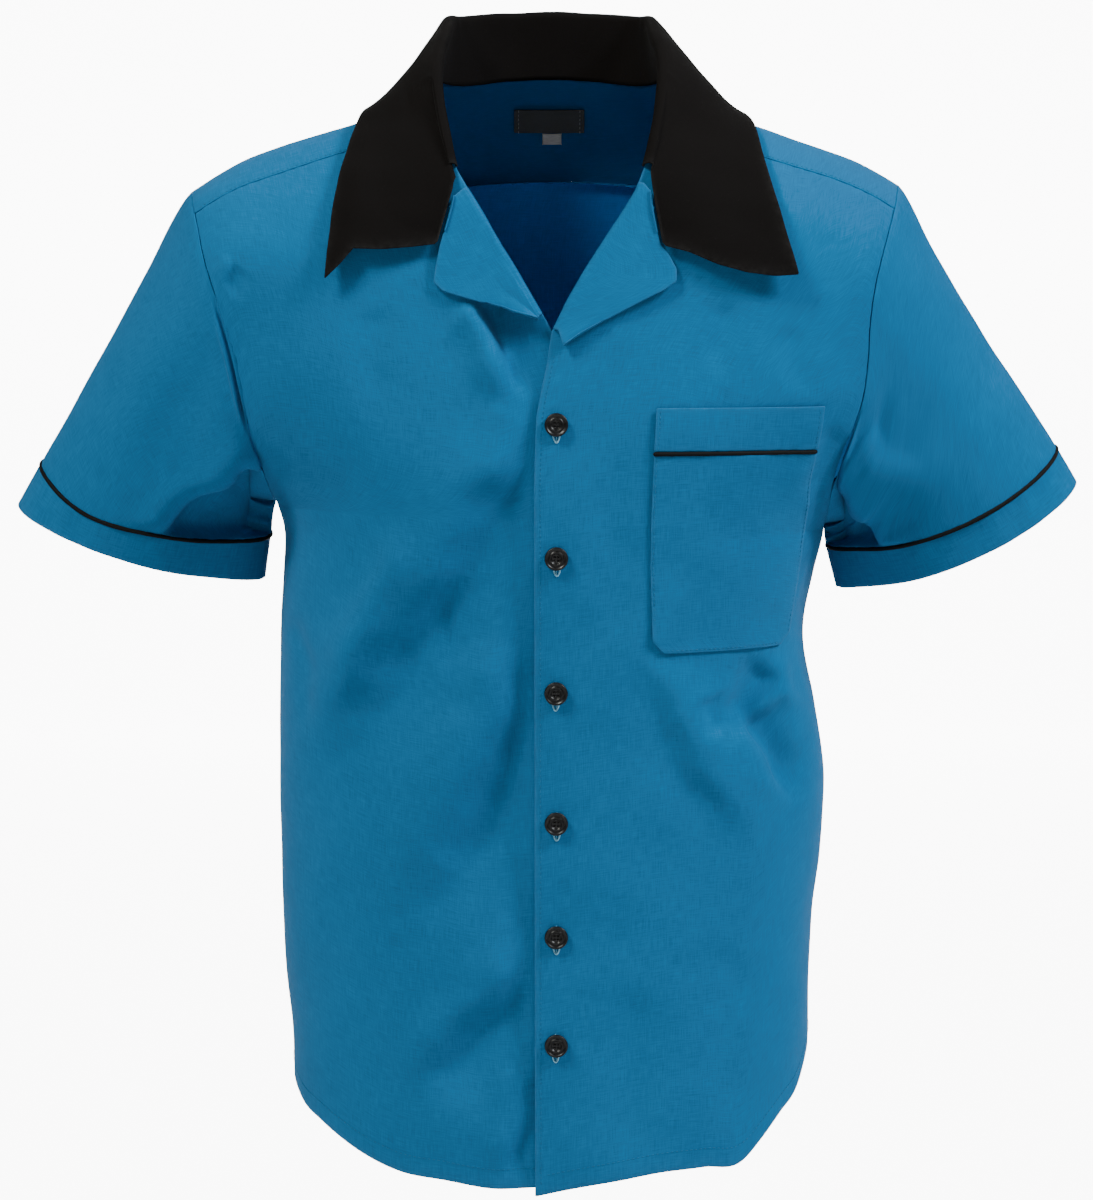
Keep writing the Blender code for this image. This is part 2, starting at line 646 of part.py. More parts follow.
def lapel(hand, rows=12, roll_columns=5, flat_columns=5):
    """A lapel: from the front's roll line it turns out on a quarter arc and lies back over the front."""
    sign = 1 if hand == "left" else -1
    c = LAPEL_LEFT if hand == "left" else LAPEL_RIGHT
    knots = np.linspace(0, 1, len(c["roll_z"]))
    at = np.linspace(0, 1, rows)
    roll_z, edge_x, edge_z = (np.interp(at, knots, c[name]) for name in ("roll_z", "edge_x", "edge_z"))
    roll_x = inner_edge(roll_z, hand)
    over = over_at(roll_x, roll_z, -1)
    up = normal(sign * roll_x, over)
    start = form(sign * roll_x, over) + up * LAPEL_GAP
    if hand == "right":
        start[:, 1] += UNDERLAP_SINK * ease((start[:, 0] - UNDERLAP_START) / (UNDERLAP_END - UNDERLAP_START))
    along = unit(np.gradient(start, axis=0))
    out = unit(np.cross(up, along)) * sign
    angle = np.linspace(0, math.pi / 2, roll_columns)[:, None, None]
    roll = start + ROLL * (up * np.sin(angle) + out * (1 - np.cos(angle)))
    edge = lay_at(sign * edge_x, edge_z, -1, np.full(rows, LAPEL_LIFT))
    reach = edge - roll[-1]
    t = np.linspace(0, 1, flat_columns + 1)[1:, None, None]
    far = np.linalg.norm(reach, axis=-1, keepdims=True)
    edge_up = normal(sign * edge_x, over_at(edge_x, edge_z, -1))
    leave = unit(reach - up * np.sum(reach * up, -1, keepdims=True))
    land = unit(reach - edge_up * np.sum(reach * edge_up, -1, keepdims=True))
    flat = hermite(roll[-1], leave * far, edge, land * far, t)
    grid = np.concatenate([roll, clear(flat, LAPEL_STAND_OFF)]).transpose(1, 0, 2)
    return cloth(f"lapel_{hand}", grid, COTTON, flip=hand == "left")


# ---- sleeves


def cuff_ring(hand, row):
    """The ring of a sleeve's piping seam (row 0) or hem (row 1), from the underarm round by the front."""
    sign = 1 if hand == "left" else -1
    c = SLEEVE_RINGS[hand]
    a, b = (np.array([sign * c[e + "_x"][row], 0, c[e + "_z"][row]]) for e in ("inner", "outer"))
    wide = (b - a) / 2
    axis = unit(np.array([wide[2] * -sign, 0, wide[0] * sign])) * np.array([-1, 0, -1])
    angle = np.arange(RING)[:, None] * 2 * math.pi / RING
    forward = np.sin(angle)
    ring = (a + b) / 2 - wide * np.cos(angle) + np.array([0, -c["depth"][row], 0]) * forward
    return ring + axis * (c["dip"][row] * forward + c["sag"][row] * forward**2)


def armhole_ring(hand):
    """The sleeve's end at the armhole, a seam's gap out from the body's own edge."""
    sign = 1 if hand == "left" else -1
    steps = np.arange(RING)
    out, height = armhole_point(steps, hand)
    side = np.where(steps <= RING / 2, -1, 1)
    ring = form(sign * out, over_at(out, height, side))
    ring[0, 1] = 0
    ring[:, 0] += sign * np.where(height > height[0] + SHOULDER_DROP, SLEEVE_GAP, SEAM_GAP)
    return ring


def sleeve(hand):
    sign = 1 if hand == "left" else -1
    start, seam, hem = armhole_ring(hand), cuff_ring(hand, 0), cuff_ring(hand, 1)
    down = unit(hem - seam)
    seam = seam - down * (CUFF_CORD / 2 + SEAM_GAP)
    lift = (1 - np.cos(np.arange(RING)[:, None] * 2 * math.pi / RING)) / 2
    (low_x, low_z), (high_x, high_z) = SLEEVE_STARTS
    way = unit(mix(np.array([sign * low_x, 0, low_z]), np.array([sign * high_x, 0, high_z]), lift))
    far = np.linalg.norm(seam - start, axis=1, keepdims=True)
    pull = mix(*SLEEVE_PULL, lift)
    t = np.array(SLEEVE_STEPS)[:, None, None]
    grid = hermite(start, way * far * pull, seam, down * far * 0.9, t)
    wide = unit(seam[RING // 2] - seam[0])
    grid = grid - wide * SLEEVE_HOLLOW[hand] * lift * np.sin(math.pi * t) ** 2
    out = unit(grid - grid.mean(axis=1, keepdims=True))
    out = unit(out - down * np.sum(out * down, -1, keepdims=True))
    degrees = np.arange(RING)[:, None] * 360 / RING
    for round_at, down_at, round_width, down_width, proud in zip(*SLEEVE_FOLDS.values()):
        shape = np.exp(-(((degrees - round_at) / round_width) ** 2) - ((t - down_at) / down_width) ** 2)
        grid = grid + out * proud * shape * np.sin(math.pi * t)
    return cloth(f"sleeve_{hand}", grid, COTTON, flip=hand == "left", closed=True)


def cuff(hand):
    seam, hem = cuff_ring(hand, 0), cuff_ring(hand, 1)
    start = seam + unit(hem - seam) * (CUFF_CORD / 2 + SEAM_GAP)
    grid = np.stack([mix(start, hem, t) for t in (0, 0.5, 1)])
    return cloth(f"cuff_{hand}", grid, COTTON, flip=hand == "left", closed=True)


def cuff_piping(hand):
    ring = cuff_ring(hand, 0)
    middle = ring.mean(axis=0)
    ring = ring - unit(ring - middle) * CLOTH / 3
    return cord(f"cuff_piping_{hand}", ring, CUFF_CORD, PIPING, closed=True)


# ---- pocket, buttons and labels


def patch(name, c, lift, heights, columns=9):
    """A piece that lies on the left front, between the inner and outer edges that its table gives."""
    t = np.linspace(0, 1, columns)
    grid = []
    for height in heights:
        inner, outer = (np.interp(height, c["height"], c[e]) for e in ("inner", "outer"))
        x = mix(inner, outer, t)
        grid.append(lay_at(x, np.full(columns, height), -1, np.full(columns, lift)))
    return cloth(name, np.array(grid), COTTON)


def pocket(rows=9, welt_rows=4, cord_points=13):
    lift = LAID_GAP + CLOTH
    low, corner, *_, top = POCKET["height"]
    patch("pocket", POCKET, lift + POCKET_LIFT, [low, *np.linspace(corner, top, rows)])
    patch("pocket_welt", WELT, lift, np.linspace(*WELT["height"], welt_rows))
    x = np.linspace(POCKET["inner"][-1], POCKET["outer"][-1], cord_points)
    line = lay_at(x, POCKET_CORD_HEIGHT, -1, np.full(cord_points, POCKET_CORD / 2 + LAID_GAP))
    cord("pocket_piping", line, POCKET_CORD, PIPING)


def button(number, height):
    """A turned button, face out, with a raised rim and a raised inner ring round its sunk middle."""
    r, thick = BUTTON_WIDTH / 2, BUTTON_THICK
    profile = (
        (0.0, 0.60 * thick),
        (0.36 * r, 0.60 * thick),
        (0.44 * r, 0.86 * thick),
        (0.56 * r, 0.86 * thick),
        (0.64 * r, 0.74 * thick),
        (0.84 * r, 1.00 * thick),
        (1.00 * r, 0.66 * thick),
        (0.96 * r, 0.22 * thick),
        (0.70 * r, 0.0),
        (0.0, 0.0),
    )
    mesh = bpy.data.meshes.new(f"button_{number}")
    mesh.from_pydata([(x, 0, z) for x, z in profile], [(i, i + 1) for i in range(len(profile) - 1)], [])
    piece = add(f"button_{number}", mesh, BUTTON)
    turned = piece.modifiers.new("turned", "SCREW")
    turned.axis = "Z"
    turned.steps = turned.render_steps = 16
    turned.use_merge_vertices = True
    turned.merge_threshold = 0.00001
    turned.use_smooth_shade = True
    over = over_at(BUTTON_OUT, height, -1)
    way = normal(BUTTON_OUT, over)
    base = form(BUTTON_OUT, over) - np.array([0, SEAM_GAP / 2, 0]) + way * LAID_GAP
    piece.location = base.tolist()
    piece.rotation_euler = (math.acos(way[2]), 0, math.atan2(way[1], way[0]) + math.pi / 2)


def label(name, place, finish, columns, under):
    """A label on the inside of the back neck, with its face to the front."""
    left, right, top, bottom = place
    x, height = np.meshgrid(np.linspace(left, right, columns), np.linspace(bottom, top, 3))
    points = lay_at(x, height, 1, np.full(x.shape, -(CLOTH + under + LABEL_WALL)))
    cloth(name, points, finish, wall=LABEL_WALL)


def main():
    for item in list(bpy.data.objects):
        bpy.data.objects.remove(item)
    shirt = bpy.data.collections.new("bowling_shirt")
    bpy.context.scene.collection.children.link(shirt)
    back()
    yoke()
    for hand in ("right", "left"):
        front(hand)
        lapel(hand)
        sleeve(hand)
        cuff(hand)
        cuff_piping(hand)
    collar()
    pocket()
    for number, height in enumerate(BUTTON_HEIGHTS, 1):
        button(number, height)
    label("neck_label", LABEL, LABEL_CLOTH, 5, LAID_GAP)
    label("size_label", SIZE_LABEL, SIZE_CLOTH, 3, LAID_GAP)


main()
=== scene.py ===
"""A short-sleeved camp-collar bowling shirt, filled out as if worn, with its cloth, piping and buttons.

+X is the wearer's left, -Y is the front and +Z is up, in metres, from the centre of the neck's base. Each
piece of cloth is a fine grid of points on the shirt's form, with creases pressed into it, its seams rounded
in and its hems folded under.
"""

import math

import bpy
import numpy as np
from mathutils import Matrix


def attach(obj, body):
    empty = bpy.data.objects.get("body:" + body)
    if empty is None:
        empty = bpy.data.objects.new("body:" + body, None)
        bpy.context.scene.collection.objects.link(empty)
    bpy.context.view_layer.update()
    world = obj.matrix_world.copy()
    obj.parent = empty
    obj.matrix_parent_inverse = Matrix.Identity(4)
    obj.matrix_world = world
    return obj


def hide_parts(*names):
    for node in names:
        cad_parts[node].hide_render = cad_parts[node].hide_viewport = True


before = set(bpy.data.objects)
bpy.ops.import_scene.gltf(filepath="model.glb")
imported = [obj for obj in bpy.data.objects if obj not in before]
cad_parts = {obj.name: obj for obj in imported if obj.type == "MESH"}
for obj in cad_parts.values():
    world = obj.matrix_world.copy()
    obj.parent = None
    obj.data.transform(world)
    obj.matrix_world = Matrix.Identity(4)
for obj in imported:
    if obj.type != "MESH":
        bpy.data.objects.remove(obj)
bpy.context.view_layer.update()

bl_info = {
    "name": "Camp-collar bowling shirt",
    "version": (1, 0, 0),
    "blender": (4, 5, 0),
    "location": "3D View > Sidebar > Shirt",
    "description": "Makes a camp-collar bowling shirt piece by piece, with cloth, piping and buttons",
    "category": "Object",
}


def table(names, *rows):
    """The named columns of a short table, as arrays."""
    return dict(zip(names.split(), np.array(rows, float).T))


# ---- cloth, seams and trim
CLOTH = 0.0015  # the solids' wall; the layer that shows is thinner
SEAM_GAP = 0.0005
SLEEVE_GAP = 0.0008
COLLAR_GAP = 0.0010
COLLAR_STAND_OFF = 0.0040
LAPEL_STAND_OFF = 0.0028
LAPEL_LIFT = 0.0050
CUFF_CORD = 0.0030
POCKET_CORD = 0.0028
BUTTON_WIDTH = 0.0152
BUTTON_THICK = 0.0030
SIGN = {"left": 1, "right": -1}  # of x on each side, named by the wearer's hand
FACE = SEAM_GAP / 2  # how far the fronts' and the back's outer faces stand off the form

# How a sheet's edge is finished: the radius that it turns on, the degrees that it turns, the rows that it
# then runs back behind itself, how far it runs on inwards, and how far the edge first moves back.
SEAM = (0.0005, 90, 0, 0.0030, 0.0003)
ARM_SEAM = (0.00045, 90, 0, 0.0030, 0.0005)
SLEEVE_SEAM = (0.00035, 90, 0, 0.0030, -0.0001)
BUTTED = (0.0004, 90, 0, 0.0025, 0.0)
HEM = (0.0006, 180, 5, 0, 0.0006)
FACING = (0.0009, 180, 8, 0, 0.0009)
EDGE = (0.00075, 180, 6, 0, 0.00075)
THIN_EDGE = (0.00045, 180, 3, 0, 0.00045)
NECK = (0.0002, 90, 0, 0.0002, 0.0)

# ---- the body's form
ROUNDNESS = 2.4  # of a section: 2 is an ellipse, and more is squarer
SHOULDER_DROP = 0.090  # the height in which the shoulders round into the front and the back
UNDERARM = {"left": -0.280, "right": -0.265}
ARMHOLE_DEPTH = 0.70  # the armhole's half depth, as a share of the body's
ARMHOLE_ROUND = 0.45  # the share of its height in which its lower end rounds out
RIDGE = table(
    "out height",
    (-0.030, 0.0380),
    (0.000, 0.0420),
    (0.030, 0.0380),
    (0.060, 0.0225),
    (0.090, 0.0045),
    (0.120, -0.0120),
    (0.150, -0.0224),
    (0.180, -0.0320),
    (0.205, -0.0413),
    (0.2225, -0.0512),
    (0.236, -0.0605),
)
DEPTH = table(
    "height front back",
    (-0.720, 0.126, 0.124),
    (-0.600, 0.127, 0.121),
    (-0.450, 0.129, 0.118),
    (-0.350, 0.131, 0.119),
    (-0.270, 0.131, 0.122),
    (-0.200, 0.126, 0.123),
    (-0.150, 0.118, 0.121),
    (-0.100, 0.107, 0.116),
    (-0.050, 0.093, 0.108),
    (0.000, 0.076, 0.100),
    (0.045, 0.062, 0.096),
)
SIDES = table(
    "height left right",
    (-0.720, 0.1680, 0.1690),
    (-0.650, 0.1718, 0.1724),
    (-0.600, 0.1744, 0.1752),
    (-0.540, 0.1758, 0.1790),
    (-0.500, 0.1808, 0.1803),
    (-0.450, 0.1833, 0.1806),
    (-0.400, 0.1770, 0.1802),
    (-0.350, 0.1694, 0.1790),
    (-0.310, 0.1752, 0.1776),
    (-0.280, 0.1820, 0.1775),
    (-0.265, 0.1820, 0.1820),
)
ARMHOLE = table(
    "rise left right",
    (0.0, 0.1820, 0.1820),
    (0.1, 0.1835, 0.1865),
    (0.2, 0.1885, 0.1920),
    (0.3, 0.1955, 0.1965),
    (0.4, 0.2025, 0.2010),
    (0.5, 0.2055, 0.2055),
    (0.6, 0.2065, 0.2110),
    (0.7, 0.2095, 0.2175),
    (0.8, 0.2150, 0.2245),
    (0.9, 0.2225, 0.2300),
    (1.0, 0.2290, 0.2356),
)
# The form's large folds: a straight line from x0 z0 to x1 z1, how wide the fold is, and how proud it stands
# (sunk where negative).
FOLDS = table(
    "side x0 z0 x1 z1 width proud",
    (-1, 0.157, -0.385, 0.128, -0.405, 0.017, -0.0050),
    (-1, 0.130, -0.408, 0.160, -0.450, 0.016, -0.0045),
    (-1, 0.085, -0.380, 0.139, -0.480, 0.018, 0.0035),
    (-1, -0.077, -0.325, -0.133, -0.399, 0.017, -0.0040),
    (-1, -0.122, -0.325, -0.154, -0.393, 0.015, 0.0040),
    (-1, -0.060, -0.320, -0.055, -0.380, 0.013, -0.0020),
    (-1, -0.016, -0.356, -0.040, -0.456, 0.020, -0.0045),
    (-1, -0.040, -0.456, -0.076, -0.485, 0.020, -0.0035),
    (-1, -0.033, -0.135, -0.012, -0.186, 0.013, -0.0030),
    (1, 0.030, -0.330, 0.115, -0.430, 0.020, -0.0050),
    (1, -0.045, -0.340, -0.130, -0.460, 0.020, -0.0050),
    (1, 0.105, -0.130, 0.125, -0.240, 0.018, -0.0040),
    (1, -0.100, -0.125, -0.130, -0.235, 0.018, -0.0040),
)

# ---- the collar, along the neck seam from the centre back to the gorge
COLLAR = table(
    "share out over stand lean turn edge_left edge_right edge_over edge_lift",
    (0.00, 0.0000, 0.0735, 0.0405, 36, 150, 0.0000, 0.0000, 0.1050, 0.0070),
    (0.12, 0.0240, 0.0715, 0.0405, 34, 150, 0.0350, 0.0340, 0.1000, 0.0070),
    (0.25, 0.0480, 0.0600, 0.0418, 30, 150, 0.0720, 0.0690, 0.0820, 0.0065),
    (0.38, 0.0675, 0.0380, 0.0392, 38, 148, 0.1010, 0.0950, 0.0500, 0.0060),
    (0.50, 0.0755, 0.0080, 0.0255, 50, 142, 0.1210, 0.1110, 0.0120, 0.0055),
    (0.62, 0.0745, -0.0220, 0.0125, 48, 132, 0.1310, 0.1215, -0.0270, 0.0060),
    (0.74, 0.0710, -0.0530, 0.0055, 34, 118, 0.1360, 0.1300, -0.0620, 0.0070),
    (0.87, 0.0665, -0.0850, 0.0020, 16, 102, 0.1440, 0.1375, -0.0980, 0.0085),
    (1.00, 0.0605, -0.1160, 0.0006, 0, 90, 0.1573, 0.1425, -0.1400, 0.0100),
)
COLLAR_OPEN = {"left": 14, "right": 0}
ROLL = 0.0038
COLLAR_END = table(
    "share left_x left_z right_x right_z lift",
    (0.000, 0.0625, -0.0445, 0.0580, -0.0470, 0.0046),
    (0.125, 0.0660, -0.0640, 0.0636, -0.0640, 0.0050),
    (0.375, 0.0717, -0.0936, 0.0718, -0.0929, 0.0055),
    (0.500, 0.0877, -0.0981, 0.0865, -0.0949, 0.0065),
    (0.625, 0.1050, -0.1057, 0.1058, -0.0968, 0.0080),
    (0.750, 0.1249, -0.1115, 0.1243, -0.0970, 0.0095),
    (0.875, 0.1422, -0.1136, 0.1327, -0.1064, 0.0100),
    (1.000, 0.1570, -0.1128, 0.1424, -0.1153, 0.0090),
)

# ---- the fronts' inner edges, the lapels and the hem
FRONT_EDGE = {
    "left": table(
        "height out",
        (-0.7200, -0.0098),
        (-0.2423, -0.0103),
        (-0.2012, -0.0090),
        (-0.1850, -0.0060),
        (-0.1650, -0.0018),
        (-0.1472, 0.0006),
        (-0.1264, 0.0108),
        (-0.1083, 0.0215),
        (-0.0894, 0.0345),
        (-0.0577, 0.0545),
    ),
    "right": table(
        "height out",
        (-0.7200, -0.0180),
        (-0.1850, -0.0180),
        (-0.1700, -0.0140),
        (-0.1550, -0.0060),
        (-0.1415, 0.0014),
        (-0.1264, 0.0103),
        (-0.1083, 0.0212),
        (-0.0894, 0.0322),
        (-0.0577, 0.0516),
    ),
}
UNDERLAP_SINK = 0.0026
UNDERLAP_START = -0.036
UNDERLAP_END = -0.016
LAPELS = {
    "left": table(
        "roll_z edge_x edge_z",
        (-0.0530, 0.0641, -0.0600),
        (-0.0620, 0.0654, -0.0690),
        (-0.0720, 0.0680, -0.0800),
        (-0.0830, 0.0704, -0.0930),
        (-0.0900, 0.0750, -0.0980),
        (-0.1000, 0.0806, -0.1080),
        (-0.1070, 0.0806, -0.1160),
        (-0.1130, 0.0721, -0.1217),
        (-0.1200, 0.0574, -0.1290),
        (-0.1290, 0.0380, -0.1390),
        (-0.1380, 0.0200, -0.1490),
        (-0.1450, 0.0085, -0.1570),
    ),
    "right": table(
        "roll_z edge_x edge_z",
        (-0.0560, 0.0616, -0.0630),
        (-0.0640, 0.0640, -0.0720),
        (-0.0720, 0.0664, -0.0800),
        (-0.0830, 0.0703, -0.0930),
        (-0.0910, 0.0730, -0.1070),
        (-0.0980, 0.0743, -0.1166),
        (-0.1040, 0.0683, -0.1221),
        (-0.1120, 0.0479, -0.1281),
        (-0.1210, 0.0300, -0.1325),
        (-0.1300, 0.0140, -0.1375),
        (-0.1360, 0.0070, -0.1400),
    ),
}
HEM_LINE = table(
    "share left right back",
    (0.00, -0.7085, -0.7000, -0.7120),
    (0.12, -0.7040, -0.7025, -0.7115),
    (0.30, -0.6985, -0.7035, -0.7090),
    (0.46, -0.6942, -0.6990, -0.7045),
    (0.62, -0.6930, -0.6952, -0.6965),
    (0.76, -0.6918, -0.6850, -0.6860),
    (0.82, -0.6810, -0.6790, -0.6800),
    (0.90, -0.6650, -0.6700, -0.6690),
    (0.96, -0.6510, -0.6620, -0.6570),
    (1.00, -0.6285, -0.6500, -0.6400),
)
HEM_SIDE = {"left": 0.0115, "right": -0.0100}

# ---- the armhole's ring, the yoke seams and the sleeves
RING = 36  # steps round the armhole, from the underarm by the front
YOKE_FRONT_STEP = 15
YOKE_BACK_STEP = 13
YOKE_BACK_HEIGHT = -0.056
YOKE_SEAM_SHARE = 11 / 19  # of the yoke's outer line, how much lies along the back seam
SLEEVE_RINGS = {
    "left": table(
        "inner_x inner_z outer_x outer_z depth dip sag bulge",
        (0.1848, -0.2962, 0.3372, -0.2297, 0.052, 0.0075, 0.0100, 0.0),
        (0.1918, -0.3234, 0.3510, -0.2524, 0.048, 0.0065, 0.0080, 0.0),
    ),
    "right": table(
        "inner_x inner_z outer_x outer_z depth dip sag bulge",
        (0.1860, -0.2885, 0.3388, -0.2400, 0.052, 0.0095, 0.0070, 0.0055),
        (0.1900, -0.3170, 0.3545, -0.2677, 0.048, 0.0070, 0.0040, 0.0),
    ),
}
# Where each sleeve's piping seam (first row) and hem (second row) are pushed in under the arm.
CUFF_TUCKS = {
    "left": table("at width deep", (34, 22, 0.0050), (34, 24, 0.0065)),
    "right": table("at width deep", (45, 25, 0.0060), (45, 26, 0.0080)),
}
CUFF_BULGE_AT, CUFF_BULGE_WIDE = 118, 30  # degrees round, of a seam's or hem's bulge
SLEEVE_STARTS = ((0.15, -0.99), (0.90, -0.44))
SLEEVE_PULL = (0.6, 0.15)
SLEEVE_HOLLOW = {"left": 0.0050, "right": 0.0020}
SLEEVE_FOLDS = table(
    "round down round_width down_width proud",
    (34, 0.35, 14, 0.30, -0.0055),
    (62, 0.45, 13, 0.30, 0.0030),
    (100, 0.60, 14, 0.22, -0.0025),
    (300, 0.50, 16, 0.25, -0.0030),
)

# ---- the pocket, the buttons and the labels
POCKET = table(
    "height inner outer",
    (-0.3530, 0.0720, 0.1490),
    (-0.3450, 0.0650, 0.1555),
    (-0.3000, 0.0641, 0.1620),
    (-0.2630, 0.0645, 0.1665),
    (-0.2262, 0.0660, 0.1710),
)
WELT = table(
    "height inner outer",
    (-0.2232, 0.0660, 0.1722),
    (-0.1955, 0.0676, 0.1762),
)
POCKET_CORD_HEIGHT, POCKET_CORD_LIFT = -0.2247, 0.0017
POCKET_SAG = 0.0006  # how far the pocket bags out in its middle
POCKET_FACE = 0.0019
WELT_FACE = 0.0022
BUTTON_OUT = 0.0040
BUTTON_HEIGHTS = (-0.2060, -0.2910, -0.3780, -0.4625, -0.5370, -0.6080)
BUTTON_LIFT = 0.00055  # of a button's back off the cloth
BUTTON_THREAD = (0.012, 0.012, 0.014)
# A button's four thread holes: how far each lies from the button's middle lines, its depth and its radius.
THREAD_HOLE_OFF, THREAD_HOLE_DEEP, THREAD_HOLE_RADIUS = 0.0011, 0.0011, 0.00062
THREAD_BAR, THREAD_RADIUS = 0.0013, 0.00030  # half the length of the thread over two holes, and its radius
HOLE_DROP = 0.0022  # how far a buttonhole's middle lies below its button's
HOLE_WIDE = 0.0025  # half the width of its almond
LIP, LIP_LIFT = 0.00058, 0.00016  # the lip's radius, and how far its middle stands off the cloth
SLIT, SLIT_LIFT = 0.00018, 0.00005  # the same of the thin line down its middle
# Each label's left, right, top and bottom, and how far it lies in behind the solids' wall.
LABEL = (-0.0247, 0.0238, -0.0052, -0.0212, 0.0014)
SIZE_LABEL = (-0.0054, 0.0082, -0.0216, -0.0292, 0.0015)
LABEL_THREAD = (0.30, 0.31, 0.30)

# ---- creases pressed into the cloth, beyond the form's folds
FRONTS, RIGHT_ONLY = -1, -2  # a crease's side: both fronts, or the right front alone; the back is 1
CLOSURE_HOLD = 0.35  # how much of the right front's creases is left where the closure holds it
CLOSURE_FROM, CLOSURE_FADE = 0.008, 0.030  # how far out that hold starts to ease, and in what width it ends
CREASE_SPREAD = 2.3  # how much wider a trough's far wall is than the one under its shoulder
CREASE_REACH = 4  # how many of its widths away from it a crease is still worked out
CREASE_START, CREASE_END = 0.22, 0.35  # the shares of its length in which it rises and dies away
# Its soft shoulder: how far away and how wide it is, in the crease's widths, and its share of the depth.
SHOULDER_AT, SHOULDER_WIDE, SHOULDER_TALL = 1.9, 1.5, 0.45
# A curve from x0 z0 by x1 z1 to x2 z2, how wide and how deep it is (a ridge where negative), and which side
# its soft shoulder rises on.
CREASES = table(
    "side x0 z0 x1 z1 x2 z2 width deep shoulder",
    # the right front: pulls from the closure down to the wearer's right side, and a ridge above the longest
    (-2, -0.013, -0.185, -0.010, -0.221, -0.025, -0.272, 0.0100, 0.0045, -1),
    (-2, -0.006, -0.229, -0.063, -0.320, -0.156, -0.472, 0.0160, 0.0100, -1),
    (-2, -0.094, -0.268, -0.118, -0.335, -0.156, -0.424, 0.0105, -0.0045, 0),
    (-2, -0.006, -0.335, -0.024, -0.437, -0.090, -0.552, 0.0175, 0.0090, -1),
    (-2, -0.003, -0.566, -0.043, -0.603, -0.082, -0.652, 0.0120, 0.0070, -1),
    (-2, -0.006, -0.617, -0.011, -0.659, -0.022, -0.701, 0.0075, 0.0055, -1),
    (-2, -0.012, -0.165, -0.014, -0.440, -0.014, -0.716, 0.0090, 0.0010, -1),
    (-2, -0.200, -0.104, -0.206, -0.112, -0.213, -0.120, 0.0035, 0.0030, -1),
    (-2, -0.066, -0.318, -0.063, -0.346, -0.058, -0.374, 0.0045, 0.0018, 1),
    (-2, -0.051, -0.120, -0.026, -0.150, -0.008, -0.196, 0.0080, 0.0130, -1),
    (-2, -0.168, -0.336, -0.160, -0.372, -0.165, -0.420, 0.0070, 0.0024, 0),
    (-2, -0.178, -0.240, -0.150, -0.246, -0.112, -0.262, 0.0120, 0.0010, 0),
    (-2, -0.130, -0.545, -0.120, -0.600, -0.098, -0.660, 0.0160, 0.0016, 1),
    (-2, -0.118, -0.128, -0.112, -0.160, -0.120, -0.205, 0.0130, 0.0020, 0),
    # the left front: the waist's pinch, the ridge that runs down to the side, and soft bands
    (-1, 0.148, -0.370, 0.129, -0.386, 0.127, -0.408, 0.0062, 0.0085, 1),
    (-1, 0.126, -0.396, 0.146, -0.424, 0.163, -0.462, 0.0064, 0.0080, -1),
    (-1, 0.066, -0.352, 0.094, -0.410, 0.142, -0.486, 0.0100, -0.0030, -1),
    (-1, 0.101, -0.378, 0.104, -0.392, 0.110, -0.408, 0.0080, 0.0036, 0),
    (-1, 0.157, -0.358, 0.151, -0.384, 0.164, -0.404, 0.0055, -0.0024, 0),
    (-1, 0.058, -0.566, 0.050, -0.630, 0.056, -0.704, 0.0150, 0.0016, 0),
    (-1, 0.122, -0.540, 0.116, -0.606, 0.120, -0.690, 0.0140, 0.0018, 0),
    (-1, 0.042, -0.220, 0.040, -0.300, 0.048, -0.356, 0.0140, 0.0020, 0),
    (-1, 0.152, -0.146, 0.160, -0.170, 0.168, -0.192, 0.0090, 0.0018, 0),
    (-1, 0.112, -0.128, 0.110, -0.150, 0.114, -0.180, 0.0080, 0.0018, 0),
    (-1, 0.186, -0.205, 0.176, -0.232, 0.170, -0.262, 0.0070, 0.0026, -1),
    # the back
    (1, 0.170, -0.190, 0.140, -0.240, 0.118, -0.300, 0.0090, 0.0022, 1),
    (1, -0.172, -0.185, -0.138, -0.235, -0.112, -0.310, 0.0090, 0.0024, -1),
    (1, 0.150, -0.330, 0.090, -0.372, 0.020, -0.380, 0.0080, 0.0022, 1),
    (1, -0.152, -0.345, -0.096, -0.392, -0.030, -0.398, 0.0085, 0.0020, 1),
    (1, 0.160, -0.400, 0.110, -0.440, 0.056, -0.452, 0.0080, 0.0018, -1),
    (1, -0.160, -0.420, -0.110, -0.462, -0.066, -0.470, 0.0090, 0.0016, 1),
    (1, 0.030, -0.090, 0.036, -0.160, 0.030, -0.240, 0.0120, 0.0010, 0),
    (1, -0.052, -0.090, -0.060, -0.170, -0.054, -0.250, 0.0130, 0.0012, 0),
    (1, 0.070, -0.500, 0.062, -0.590, 0.070, -0.700, 0.0140, 0.0016, 0),
    (1, -0.040, -0.520, -0.048, -0.600, -0.040, -0.708, 0.0150, 0.0018, 0),
    (1, -0.120, -0.540, -0.112, -0.620, -0.118, -0.690, 0.0130, 0.0014, 1),
    (1, 0.138, -0.530, 0.130, -0.600, 0.136, -0.680, 0.0120, 0.0012, -1),
)
# A sleeve's cloth unrolled: metres for each degree round it, and its length.
SLEEVE_DEGREE = 0.00095
SLEEVE_DOWN = 0.15
